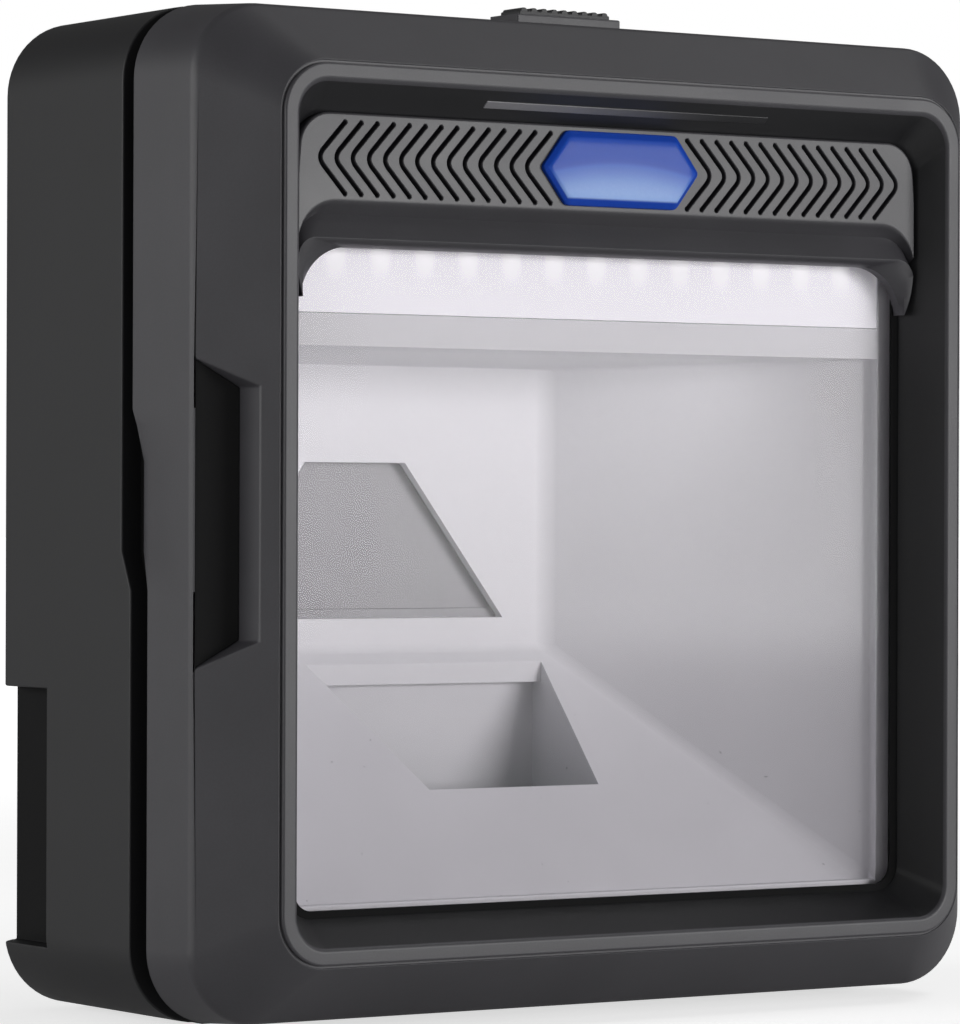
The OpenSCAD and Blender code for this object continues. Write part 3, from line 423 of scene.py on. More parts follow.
@dataclass(frozen=True)
class LampDiffuser(Finish):
    """White strip with a painted glow and painted light: soft brighter streaks in front of its lamps."""

    colour: str = "#e4e3e8"
    dim: str = "#c4c3c8"
    bright: str = "#eeedf2"
    # Strength of the strip's painted glow
    glow: float = 0.26
    pitch: float = 7.9
    streak_step: Point2 = (0.04, 0.3)
    middle: float = 37.0
    fade: float = 0.003
    streak_share: float = 0.8
    cloud: Noise = (60.0, 3.0, 0.5)
    cloud_share: float = 0.1
    roughness: float = 0.4

    def shader(self, tree: Tree) -> Shade:
        """Closing shader of the tree.

        Args:
            tree: The material's tree.

        Returns:
            The shader.
        """
        # Painted light: paler streaks in front of each lamp, in the base colour and in the emission colour
        near = tree.maths("PINGPONG", tree.spot().part("X") / (self.pitch * MM), 0.5)
        middle = (MID_Z + self.middle) * MM
        lower = tree.spot().part("Z").step(middle - self.fade, middle + self.fade)
        painted_streak = near.step(*self.streak_step, 1.0, 0.0) * lower
        cloud = tree.noise(*self.cloud) * self.cloud_share
        painted_streak_and_cloud = painted_streak * self.streak_share + cloud
        return tree.principled({
            "Base Color": tree.colours(linear(self.colour), linear(WHITE), painted_streak_and_cloud),
            "Roughness": cloud + self.roughness, "IOR": PLASTIC_IOR,
            "Emission Color": tree.colours(linear(self.dim), linear(self.bright), painted_streak),
            "Emission Strength": self.glow})


@dataclass(frozen=True)
class BadgeEnamel(Finish):
    """Domed blue badge: a deep border, a lighter lower field with a curved upper edge, and a clear coat."""

    border: str = "#1243b2"
    field: str = "#2459cc"
    light: str = "#a0c2fb"
    fleck: str = "#2c64d4"
    curve: float = 0.35
    light_step: Point2 = (-0.75, 0.45)
    edge_step: Point2 = (0.1, 0.25)
    edge_share: float = 0.5
    shoulder: float = 0.70
    rim_step: Point2 = (0.76, 0.84)
    flecks: Noise = (2400.0, 1.0, 0.5)
    fleck_share: float = 0.12

    def shader(self, tree: Tree) -> Shade:
        """Closing shader of the tree.

        Args:
            tree: The material's tree.

        Returns:
            The shader.
        """
        spot = tree.spot()
        x = spot.part("X") / (BADGE_HALF * MM)
        z = (spot.part("Z") - (MID_Z + BADGE_MIDDLE) * MM) / (BADGE_HALF_H * MM)
        rise = z + x * x * self.curve
        border = linear(self.border)
        field = tree.colours(linear(self.light), linear(self.field), rise.step(*self.light_step))
        field = tree.colours(field, border, rise.step(*self.edge_step) * self.edge_share)
        reach_x = tree.maths("ABSOLUTE", x)
        reach_z = tree.maths("ABSOLUTE", z)
        slant = (reach_x - self.shoulder) / (1 - self.shoulder) + reach_z
        colour = tree.colours(field, border, tree.maths("MAXIMUM", slant, reach_z).step(*self.rim_step))
        colour = tree.colours(colour, linear(self.fleck), tree.noise(*self.flecks) * self.fleck_share)
        return tree.principled({"Base Color": colour, "Roughness": 0.5, "IOR": 1.4,
                                "Specular IOR Level": 0.15, "Coat Weight": 0.15, "Coat Roughness": 0.12})


@dataclass(frozen=True)
class LightGuide(Finish):
    """Grey light guide that fades darker to one end."""

    near: str = "#8b8a8e"
    far: str = "#303032"
    fade: Point2 = (-26.0, 22.0)
    fine: Noise = (1500.0, 2.0, 0.6)
    fine_share: float = 0.15
    roughness: float = 0.3
    spread: float = 0.1
    ior: float = 1.49

    def shader(self, tree: Tree) -> Shade:
        """Closing shader of the tree.

        Args:
            tree: The material's tree.

        Returns:
            The shader.
        """
        fade = tree.spot().part("X").step(self.fade[0] * MM, self.fade[1] * MM)
        far = linear(self.far)
        fine = tree.noise(*self.fine)
        colour = tree.colours(tree.colours(linear(self.near), far, fade), far, fine * self.fine_share)
        rough = fine * self.spread + self.roughness
        return tree.principled({"Base Color": colour, "Roughness": rough, "IOR": self.ior})


@dataclass(frozen=True)
class BrushedMetal(Finish):
    """Turned or stamped metal with fine marks."""

    colour: str
    roughness: float = 0.3
    spread: float = 0.15
    shadow: float = 0.75
    cloud: Noise = (300.0, 3.0, 0.6)
    cloud_step: Point2 = (0.45, 0.75)
    fine: Noise = (4000.0, 2.0, 0.6)
    depth: float = 0.004

    def shader(self, tree: Tree) -> Shade:
        """Closing shader of the tree.

        Args:
            tree: The material's tree.

        Returns:
            The shader.
        """
        base = linear(self.colour)
        cloud = tree.noise(*self.cloud)
        colour = tree.colours(base, scaled(base, self.shadow), cloud.step(*self.cloud_step))
        return tree.principled({
            "Base Color": colour, "Metallic": 1.0, "Roughness": cloud * self.spread + self.roughness,
            "Normal": tree.bump(tree.noise(*self.fine), self.depth)})


@dataclass(frozen=True)
class BoardFinish(Finish):
    """Circuit board with a faint pattern of tracks under green lacquer."""

    colour: str = "#1f5a3c"
    track: str = "#3f8a63"
    scale: float = 260.0
    rise: Point2 = (0.28, 0.33)
    fall: Point2 = (0.36, 0.41)
    depth: float = 0.03
    roughness: float = 0.35
    spread: float = 0.1

    def shader(self, tree: Tree) -> Shade:
        """Closing shader of the tree.

        Args:
            tree: The material's tree.

        Returns:
            The shader.
        """
        settings = {"feature": "F1", "distance": "MANHATTAN"}
        inputs = {"Vector": tree.spot(), "Scale": self.scale}
        cells = tree.node("ShaderNodeTexVoronoi", settings, inputs, "Distance")
        tracks = cells.step(*self.rise) * cells.step(*self.fall, 1.0, 0.0)
        return tree.principled({
            "Base Color": tree.colours(linear(self.colour), linear(self.track), tracks),
            "Roughness": tracks * self.spread + self.roughness, "IOR": PLASTIC_IOR,
            "Normal": tree.bump(tracks, self.depth)})


class Look(Enum):
    """The finishes of the scanner."""

    FRONT = MouldedPlastic("front_plastic", "#454448")
    REAR = MouldedPlastic("rear_plastic", "#1f1f21", roughness=0.5)
    # Recess walls: a smoother finish, and a darker colour that is painted shade
    RECESS = MouldedPlastic("recess_plastic", "#232325", roughness=0.42, grain_depth=0.006)
    # End walls beside the cable bay: near black as painted shade
    NOTCH = MouldedPlastic("notch_plastic", "#09090a", roughness=0.7, specular=0.2)
    BAND = MouldedPlastic("band_rubber", "#0c0c0d", roughness=0.8, specular=0.2)
    GASKET = MouldedPlastic("gasket_foam", "#101011", roughness=0.8, specular=0.2)
    PANE = ClearPane("clear_pane")
    BROW = MouldedPlastic("brow_plastic", "#403f43", roughness=0.42)
    BADGE = BadgeEnamel("badge_enamel")
    LIGHT_BAR = LightGuide("light_guide")
    PAD = MouldedPlastic("pad_rubber", "#161617", roughness=0.75, specular=0.3)
    CHAMBER = ChamberPaint("chamber_paint", "#dfdfe2")
    # Camera filter plate: mid grey as painted shade of the deep tunnel behind the aperture
    FILTER = ChamberPaint("filter_plastic", "#737277", roughness=0.4)
    DIFFUSER = LampDiffuser("lamp_diffuser")
    BOARD = BoardFinish("board_lacquer")
    LAMP = MouldedPlastic("lamp_phosphor", "#e8dc8a", roughness=0.35, grain=900.0)
    BARREL = MouldedPlastic("barrel_plastic", "#161618", roughness=0.5)
    LENS = MouldedPlastic("lens_glass", "#141a22", roughness=0.08, grain_depth=0.0, wear=0.02)
    CHIP = MouldedPlastic("chip_resin", "#26262a", roughness=0.5)
    SPEAKER = MouldedPlastic("speaker_plastic", "#1b1b1d", roughness=0.6)
    PORT = BrushedMetal("port_metal", "#b8babd")
    COVER = MouldedPlastic("cover_plastic", "#2c2c2e", roughness=0.5)
    STEEL = BrushedMetal("screw_steel", "#9fa1a5", roughness=0.32)
    BRASS = BrushedMetal("insert_brass", "#c9a352", roughness=0.28)
    RUBBER = MouldedPlastic("foot_rubber", "#1a1a1b", roughness=0.85, specular=0.25)
    BUTTON = MouldedPlastic("button_plastic", "#2a2a2c", roughness=0.5)
    SWITCH = BrushedMetal("switch_metal", "#b8babd")


# Mesh tools


def link(name: str, data: bpy.types.ID) -> Piece:
    """Put some data in the scene.

    Args:
        name: Name of the object.
        data: Its mesh, camera or lamp.

    Returns:
        The new object.
    """
    made = bpy.data.objects.new(name, data)
    bpy.context.scene.collection.objects.link(made)
    return made


@contextmanager
def editing(mesh: bpy.types.Mesh) -> Iterator[bmesh.types.BMesh]:
    """Open a mesh for changes and write it back.

    Args:
        mesh: The mesh.

    Returns:
        The open mesh.
    """
    bm = bmesh.new()
    bm.from_mesh(mesh)
    yield bm
    bm.to_mesh(mesh)
    bm.free()


class Skin:
    """Vertices and faces of a mesh while it is built."""

    def __init__(self) -> None:
        """Start with no points and no faces."""
        self.points: list[Vector] = []
        self.faces: list[tuple[int, ...]] = []

    def row(self, points: Sequence[Vector]) -> list[int]:
        """Add points.

        Args:
            points: Their places.

        Returns:
            Their numbers.
        """
        start = len(self.points)
        self.points.extend(points)
        return list(range(start, len(self.points)))

    def bridge(self, rows: Sequence[Sequence[int]], closed: bool = True) -> None:
        """Join each row to the next with quads.

        Args:
            rows: Rows of equal length.
            closed: Whether a row's last point joins its first.
        """
        for a, b in zip(rows, rows[1:]):
            count = len(a)
            for i in range(count if closed else count - 1):
                j = (i + 1) % count
                self.faces.append((a[i], a[j], b[j], b[i]))

    def cap(self, row: Sequence[int]) -> None:
        """Close a row with one face."""
        self.faces.append(tuple(row))

    def solid(self, name: str, double: float = 1e-6) -> Piece:
        """Make an object of the mesh, with doubles merged and faces turned outwards.

        Args:
            name: Name of the object.
            double: Distance under which points are merged, in metres.

        Returns:
            The object.
        """
        mesh = bpy.data.meshes.new(name)
        mesh.from_pydata(self.points, [], self.faces)
        with editing(mesh) as bm:
            bmesh.ops.remove_doubles(bm, verts=bm.verts, dist=double)
            bmesh.ops.recalc_face_normals(bm, faces=bm.faces)
        return link(name, mesh)


def solid_over(name: str, rows: Sequence[Sequence[Vector]], closed: bool = False) -> Piece:
    """Solid over rows of points, capped at both ends or closed on itself.

    Args:
        name: Name of the object.
        rows: Rows of equal length.
        closed: Whether the last row joins the first.

    Returns:
        The solid.
    """
    skin = Skin()
    made = [skin.row(points) for points in rows]
    skin.bridge(made + made[:1] if closed else made)
    if not closed:
        skin.cap(made[0])
        skin.cap(made[-1])
    return skin.solid(name)


def hexahedron(name: str, x: Point2, depths: Sequence[Point2], halves: Point2,
               middle: float = 0.0) -> Piece:
    """Block between two sides, whose depths and half heights differ from side to side.

    Args:
        name: Name of the object.
        x: Inner and outer side.
        depths: Front and back depth at each side.
        halves: Half height at each side.
        middle: Height of the middle.

    Returns:
        The block.
    """
    rows = []
    for side, (front, back), half in zip(x, depths, halves):
        rows.append([place(side, front, middle - half), place(side, back, middle - half),
                     place(side, back, middle + half), place(side, front, middle + half)])
    return solid_over(name, rows)


def block(name: str, x: Point2, d: Point2, z: Point2) -> Piece:
    """Box between two sides, two depths and two heights."""
    half = (z[1] - z[0]) / 2
    return hexahedron(name, x, (d, d), (half, half), (z[0] + z[1]) / 2)


def side_block(name: str, side: int, x: Point2, d: Point2, z: Point2) -> Piece:
    """Box at one side of the scanner, given as for the right side."""
    low, high = sorted((side * x[0], side * x[1]))
    return block(name, (low, high), d, z)


def pin(name: str, x: float, z: float, radius: float, depths: Point2, steps: int = 24) -> Piece:
    """Straight round bar along the depth.

    Args:
        name: Name of the object.
        x: Side of its axis.
        z: Height of its axis.
        radius: Its radius.
        depths: Depths of its ends.
        steps: Number of points round it.

    Returns:
        The bar.
    """
    turns = [2 * math.pi * i / steps for i in range(steps)]
    return solid_over(name, [[place(x + radius * math.cos(t), depth, z + radius * math.sin(t))
                              for t in turns] for depth in depths])


def bake(piece: Piece) -> None:
    """Turn a piece with modifiers into a plain mesh.

    Args:
        piece: The piece.
    """
    graph = bpy.context.evaluated_depsgraph_get()
    mesh = bpy.data.meshes.new_from_object(piece.evaluated_get(graph))
    piece.modifiers.clear()
    piece.data = mesh
    mesh.name = piece.name


def combine(piece: Piece, tools: Sequence[Piece], operation: str) -> None:
    """Join solids to a piece or cut them from it, and remove them.

    Args:
        piece: The piece that stays.
        tools: Solids to join or cut.
        operation: UNION or DIFFERENCE.
    """
    for tool in tools:
        made = piece.modifiers.new("combine", "BOOLEAN")
        made.operation = operation
        made.solver = "EXACT"
        made.object = tool
    bake(piece)
    for tool in tools:
        bpy.data.objects.remove(tool)


def tidy(piece: Piece, merge: float = 1e-6, flat: float = 0.002) -> None:
    """Merge doubles and dissolve edges between faces in one plane.

    Args:
        piece: The piece.
        merge: Distance under which points are merged, in metres.
        flat: Angle under which faces are joined, in radians, or 0 to leave them.
    """
    with editing(piece.data) as bm:
        bmesh.ops.remove_doubles(bm, verts=bm.verts, dist=merge)
        bmesh.ops.dissolve_degenerate(bm, edges=bm.edges, dist=merge)
        if flat > 0:
            bmesh.ops.dissolve_limit(bm, angle_limit=flat, verts=bm.verts, edges=bm.edges)
        bmesh.ops.recalc_face_normals(bm, faces=bm.faces)


def sharper(limit: float) -> EdgeRule:
    """Rule that picks the edges bent by more than an angle in radians."""
    return lambda edge: 1.0 if edge.calc_face_angle(0.0) > limit else 0.0


def bevel(piece: Piece, rule: EdgeRule, width: float, segments: int, clamp: bool = True) -> None:
    """Round a piece's edges by weight.

    Args:
        piece: The piece.
        rule: Gives each edge its weight.
        width: Width of the rounding at full weight.
        segments: Number of faces across it.
        clamp: Whether roundings stop where they meet.
    """
    with editing(piece.data) as bm:
        layers = bm.edges.layers.float
        layer = layers.get(WEIGHT_LAYER) or layers.new(WEIGHT_LAYER)
        for edge in bm.edges:
            edge[layer] = rule(edge)
    made = piece.modifiers.new("soften", "BEVEL")
    made.limit_method = "WEIGHT"
    made.width = width * MM
    made.segments = segments
    made.use_clamp_overlap = clamp
    bake(piece)


def smooth(piece: Piece, angle: float) -> None:
    """Shade a piece smooth, its normals led by its large faces.

    Args:
        piece: The piece.
        angle: Angle in degrees up to which an edge is smooth.
    """
    for face in piece.data.polygons:
        face.use_smooth = True
    piece.data.set_sharp_from_angle(angle=math.radians(angle))
    made = piece.modifiers.new("normals", "WEIGHTED_NORMAL")
    made.keep_sharp = True
    made.weight = 50
    bake(piece)


def copy_node(frame: dict[str, Any], node: str, name: str) -> Piece:
    """Merged copy of a node's mesh.

    Args:
        frame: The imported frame.
        node: The node's name.
        name: Name of the copy.

    Returns:
        The copy.
    """
    mesh = frame["nodes"][node].data.copy()
    mesh.name = name
    piece = link(name, mesh)
    tidy(piece, merge=NODE_MERGE, flat=NODE_FLAT)
    return piece


def paint_more(piece: Piece, material: Material, rule: Callable[[bpy.types.MeshPolygon], bool]) -> None:
    """Give the faces that a rule picks a second material.

    Args:
        piece: The dressed piece.
        material: The second material.
        rule: Says whether a face takes it.
    """
    piece.data.materials.append(material)
    for face in piece.data.polygons:
        if rule(face):
            face.material_index = 1


# Rings


@dataclass(frozen=True)
class Ring:
    """Upright rounded rectangle at a depth.

    The fields follow, grow and dip say how far its sides follow the parting groove's steps, widen with them
    and take part in the finger facet.
    """

    half: float
    low: float
    high: float
    radius: float
    depth: float
    follow: float = 0.0
    grow: float = 0.0
    dip: float = 0.0

    def mix(self, other: "Ring", t: float) -> "Ring":
        """Ring between this one and another."""
        return Ring(*(blend(a, b, t) for a, b in zip(astuple(self), astuple(other))))

    def gap(self, other: "Ring") -> float:
        """Distance to another ring across the wall."""
        return math.hypot(self.half - other.half, self.depth - other.depth)


Row = tuple[Ring, float]


def soften(rows: Sequence[Row], closed: bool, steps: int) -> list[Ring]:
    """Round the corners of a row of rings.

    Args:
        rows: The rings in order, each with how far its rounding reaches.
        closed: Whether the last ring joins the first.
        steps: Number of steps in each rounding.

    Returns:
        The rings with their corners rounded.
    """
    most = 0.48
    out: list[Ring] = []
    count = len(rows)
    for i, (ring, size) in enumerate(rows):
        if size <= 0 or (not closed and i in (0, count - 1)):
            out.append(ring)
            continue
        before = rows[i - 1][0]
        after = rows[(i + 1) % count][0]
        back = ring.mix(before, min(most, size / ring.gap(before)))
        ahead = ring.mix(after, min(most, size / ring.gap(after)))
        for k in range(steps + 1):
            t = k / steps
            out.append(back.mix(ring, t).mix(ring.mix(ahead, t), t))
    return out


@dataclass(frozen=True)
class Outline:
    """How a ring is turned into points.

    The groove's steps say how the edge of a shell moves and dips along its sides: height, shift in depth,
    and dip. Each of their heights also gets a point of its own.
    """

    steps: tuple[Point3, ...] = ()
    corner_steps: int = 14

    def at(self, z: float) -> Point2:
        """Shift and dip at a height.

        Args:
            z: The height.

        Returns:
            Shift in depth, and dip.
        """
        if not self.steps:
            return (0.0, 0.0)
        if z <= self.steps[0][0]:
            return self.steps[0][1:]
        for a, b in zip(self.steps, self.steps[1:]):
            if z <= b[0]:
                t = (z - a[0]) / (b[0] - a[0])
                return (blend(a[1], b[1], t), blend(a[2], b[2], t))
        return self.steps[-1][1:]

    def points(self, ring: Ring) -> list[Vector]:
        """Points of a ring, anticlockwise from the front, starting low on the right.

        Args:
            ring: The ring.

        Returns:
            Its points.
        """
        stops = [step[0] for step in self.steps]
        flat: list[tuple[float, float, float, float]] = [(ring.half, z, 1.0, 0.0) for z in stops]
        for quarter in range(4):
            sx = 1 if quarter in (0, 3) else -1
            cx = sx * (ring.half - ring.radius)
            cz = (ring.high - ring.radius) if quarter < 2 else (ring.low + ring.radius)
            if quarter == 2:
                flat += [(-ring.half, z, -1.0, 0.0) for z in reversed(stops)]
            for i in range(self.corner_steps + 1):
                turn = math.radians(quarter * 90 + i * 90 / self.corner_steps)
                nx, nz = math.cos(turn), math.sin(turn)
                flat.append((cx + ring.radius * nx, cz + ring.radius * nz, nx, nz))
        out = []
        for x, z, nx, nz in flat:
            shift, dip = self.at(z)
            push = ring.grow * ring.follow * shift - ring.dip * dip
            out.append(place(x + nx * push, ring.depth + ring.follow * shift, z + nz * push))
        return out


def loft(name: str, rows: Sequence[Row], outline: Outline, closed: bool, steps: int = 5) -> Piece:
    """Solid over a row of softened rings, closed on itself or capped at both ends."""
    rings = soften(rows, closed, steps)
    return solid_over(name, [outline.points(ring) for ring in rings], closed)


# Shells


@dataclass
class Assembly:
    """A sub-assembly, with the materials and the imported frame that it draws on."""

    looks: dict[Look, Material]
    frame: dict[str, Any]

    def build(self) -> list[Piece]:
        """Build and dress the pieces."""
        raise NotImplementedError

    def dress(self, piece: Piece, look: Look, slot: str, *nodes: str, body: Body = Body.HOUSING) -> Piece:
        """Give a finished piece its material and its body, and hide the nodes it stands for.

        Args:
            piece: The finished piece.
            look: Its finish.
            slot: The record's material slot; not used.
            nodes: The nodes that it replaces.
            body: The body that it rides on.

        Returns:
            The piece.
        """
        piece.data.materials.clear()
        piece.data.materials.append(self.looks[look])
        for face in piece.data.polygons:
            face.material_index = 0
        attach(piece, body.value)
        if nodes:
            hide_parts(*nodes)
        return piece


@dataclass
class FrontFrame(Assembly):
    """Front frame with its bevel, rim, leaning recess, finger facets and side pockets."""

    edge_high: float = 75.0
    edge_r: float = 11.2
    taper: float = 1 / 15.6
    facet_end: float = 22.0
    groove: float = 26.6
    groove_steps: tuple[Point3, ...] = ((-11.4, -4.3, 0.0), (-5.6, -1.2, 1.3), (7.7, -1.2, 1.3),
                                        (13.0, -1.2, 0.0), (15.4, 0.0, 0.0))
    profile: tuple[Row, ...] = (
        (Ring(63.35, -66.35, 66.35, 7.9, 0.54), 0.25),
        (Ring(63.2, -66.2, 66.2, 7.75, 0.75), 0.0),
        (Ring(62.9, -65.9, 65.9, 7.5, 0.75), 0.0),
        (Ring(62.85, -65.85, 65.85, 7.45, 0.0), 0.35),
        (Ring(60.5, -63.5, 63.5, 5.1, 0.0), 0.5),
        (Ring(57.1, -59.6, 56.6, 4.0, 8.3), 0.15),
        (Ring(58.85, -60.75, 58.0, 4.15, 8.3), 0.0),
        (Ring(58.85, -60.75, 58.0, 4.15, 13.2), 0.0),
        (Ring(61.05, -62.95, 65.4, 6.2, 13.2), 0.0),
        (Ring(61.05, -62.95, 65.4, 6.2, 3.0), 0.0),
        (Ring(62.55, -65.55, 65.55, 6.4, 3.0), 0.0),
        (Ring(CAVITY_HALF, -CAVITY_HIGH, CAVITY_HIGH, CAVITY_R, 12.5), 0.0),
    )
    pocket_x: Point2 = (65.3, 71.6)
    pocket_halves: Point2 = (18.5, 22.6)
    pocket_deep: float = 6.0
    pocket_over: float = -1.0
    pocket_shell_x: Point2 = (63.7, 70.4)
    pocket_shell_deep: Point2 = (1.5, 8.0)
    pocket_shell_halves: Point2 = (24.2, 24.2)
    post_front: float = 8.0
    post_rib_x: Point2 = (POST_X, 70.2)
    post_rib_d: Point2 = (9.3, 19.8)
    post_rib_half: float = 0.9
    bore_r: float = 1.25
    bore_d: Point2 = (13.0, 40.0)
    bore_steps: int = 16
    seat_wall: Box = ((-59.5, 59.5), (8.3, 10.3), (42.15, 59.0))
    switch_post: Box = ((7.0, 10.0), (18.8, 25.6), (68.0, 73.4))
    button_hole: Box = ((-9.9, 9.9), (18.25, 26.15), (74.45, 90.0))
    stem_hole: Box = ((-4.6, 4.6), (20.1, 24.3), (66.0, 90.0))
    speaker_mouth: Box = ((-43.0, -25.0), (7.3, 11.3), (49.55, 55.55))
    recess: Point3 = (60.4, 8.35, 63.4)
    recess_start: float = 0.55
    cut_angle: float = 20.0
    cut_slack: float = 0.1
    hole_edge: Point3 = (10.0, 26.4, 74.5)
    hole_edge_front: float = 18.0
    hole_edge_weight: float = 0.5

    def band(self, depth: float, **more: float) -> Ring:
        """Ring of the tapered side band.

        Args:
            depth: Its depth.
            more: How it follows the groove's steps.

        Returns:
            The ring.
        """
        wide = self.taper * (depth - BEVEL_D)
        high = self.edge_high + wide
        return Ring(EDGE_HALF + wide, -high, high, self.edge_r + wide / 2, depth, **more)

    def shell(self) -> Piece:
        """Closed loft of the frame's wall.

        Returns:
            The wall.
        """
        end = Ring(CAVITY_HALF, -CAVITY_HIGH, CAVITY_HIGH, CAVITY_R, self.groove, follow=1.0)
        rows = [
            (self.band(self.groove, follow=1.0, grow=self.taper, dip=1.0), 0.3),
            (self.band(self.facet_end), 0.0),
            (self.band(BEVEL_D), 0.9),
            *self.profile,
            (end, 0.0),
        ]
        return loft("front_frame", rows, Outline(self.groove_steps), closed=True)

    def wedge(self, name: str, side: int, x: Point2, deep: Point2, halves: Point2) -> Piece:
        """Block under the side bevel, between two sides and two depths below it."""
        depths = [(under_bevel(at, deep[0]), under_bevel(at, deep[1])) for at in x]
        return hexahedron(name, (side * x[0], side * x[1]), depths, halves)

    def additions(self) -> list[Piece]:
        """Walls, pocket shells, posts and ribs that the wall carries.

        Returns:
            The solids to join.
        """
        parts = [block("seat_wall", *self.seat_wall)]
        for side in SIDES:
            parts.append(self.wedge("pocket_shell", side, self.pocket_shell_x, self.pocket_shell_deep,
                                    self.pocket_shell_halves))
            for z, meet in zip(POST_HEIGHTS, POST_MEETS):
                parts.append(pin("post", side * POST_X, z, POST_R, (self.post_front, meet)))
                rib_z = (z - self.post_rib_half, z + self.post_rib_half)
                parts.append(side_block("post_rib", side, self.post_rib_x, self.post_rib_d, rib_z))
            parts.append(side_block("switch_post", side, *self.switch_post))
        return parts

    def cuts(self) -> list[Piece]:
        """Pockets, screw bores, button hole and speaker mouth.

        Returns:
            The solids to cut away.
        """
        parts = []
        for side in SIDES:
            parts.append(self.wedge("pocket_space", side, self.pocket_x, (self.pocket_over, self.pocket_deep),
                                    self.pocket_halves))
            for z in POST_HEIGHTS:
                parts.append(pin("screw_bore", side * POST_X, z, self.bore_r, self.bore_d, self.bore_steps))
        parts.append(block("button_hole", *self.button_hole))
        parts.append(block("stem_hole", *self.stem_hole))
        parts.append(block("speaker_mouth", *self.speaker_mouth))
        return parts

    def in_recess(self, face: bpy.types.MeshPolygon) -> bool:
        """Whether a face belongs to the smooth walls of the recess, which are painted darker as shade."""
        x, d, z = spot_of(face.center)
        return self.recess_start < d < self.recess[1] and abs(x) < self.recess[0] and abs(z) < self.recess[2]

    def is_cut_edge(self, edge: bmesh.types.BMEdge) -> float:
        """Weight of the edges round the pockets and the button hole.

        Args:
            edge: The edge.

        Returns:
            Its weight.
        """
        if edge.calc_face_angle(0.0) < math.radians(self.cut_angle):
            return 0.0
        x, d, z = spot_of((edge.verts[0].co + edge.verts[1].co) / 2)
        x = abs(x)
        reach = inside(x, (self.pocket_x[0] - self.cut_slack, self.pocket_x[1] + self.cut_slack))
        reach = reach and abs(z) < self.pocket_halves[1] + self.cut_slack
        if reach and d < under_bevel(x, self.pocket_deep) + self.cut_slack / 2:
            return 1.0
        if x < self.hole_edge[0] and z > self.hole_edge[2] and self.hole_edge_front < d < self.hole_edge[1]:
            return self.hole_edge_weight
        return 0.0

    def build(self) -> list[Piece]:
        """Build and dress the front frame.

        Returns:
            The frame.
        """
        piece = self.shell()
        combine(piece, self.additions(), "UNION")
        combine(piece, self.cuts(), "DIFFERENCE")
        tidy(piece, flat=0.0)
        bevel(piece, self.is_cut_edge, 0.3, 3, clamp=False)
        smooth(piece, 32.0)
        self.dress(piece, Look.FRONT, "shell_front", "front_bezel")
        # The recess walls get the darker material of painted shade
        paint_more(piece, self.looks[Look.RECESS], self.in_recess)
        return [piece]


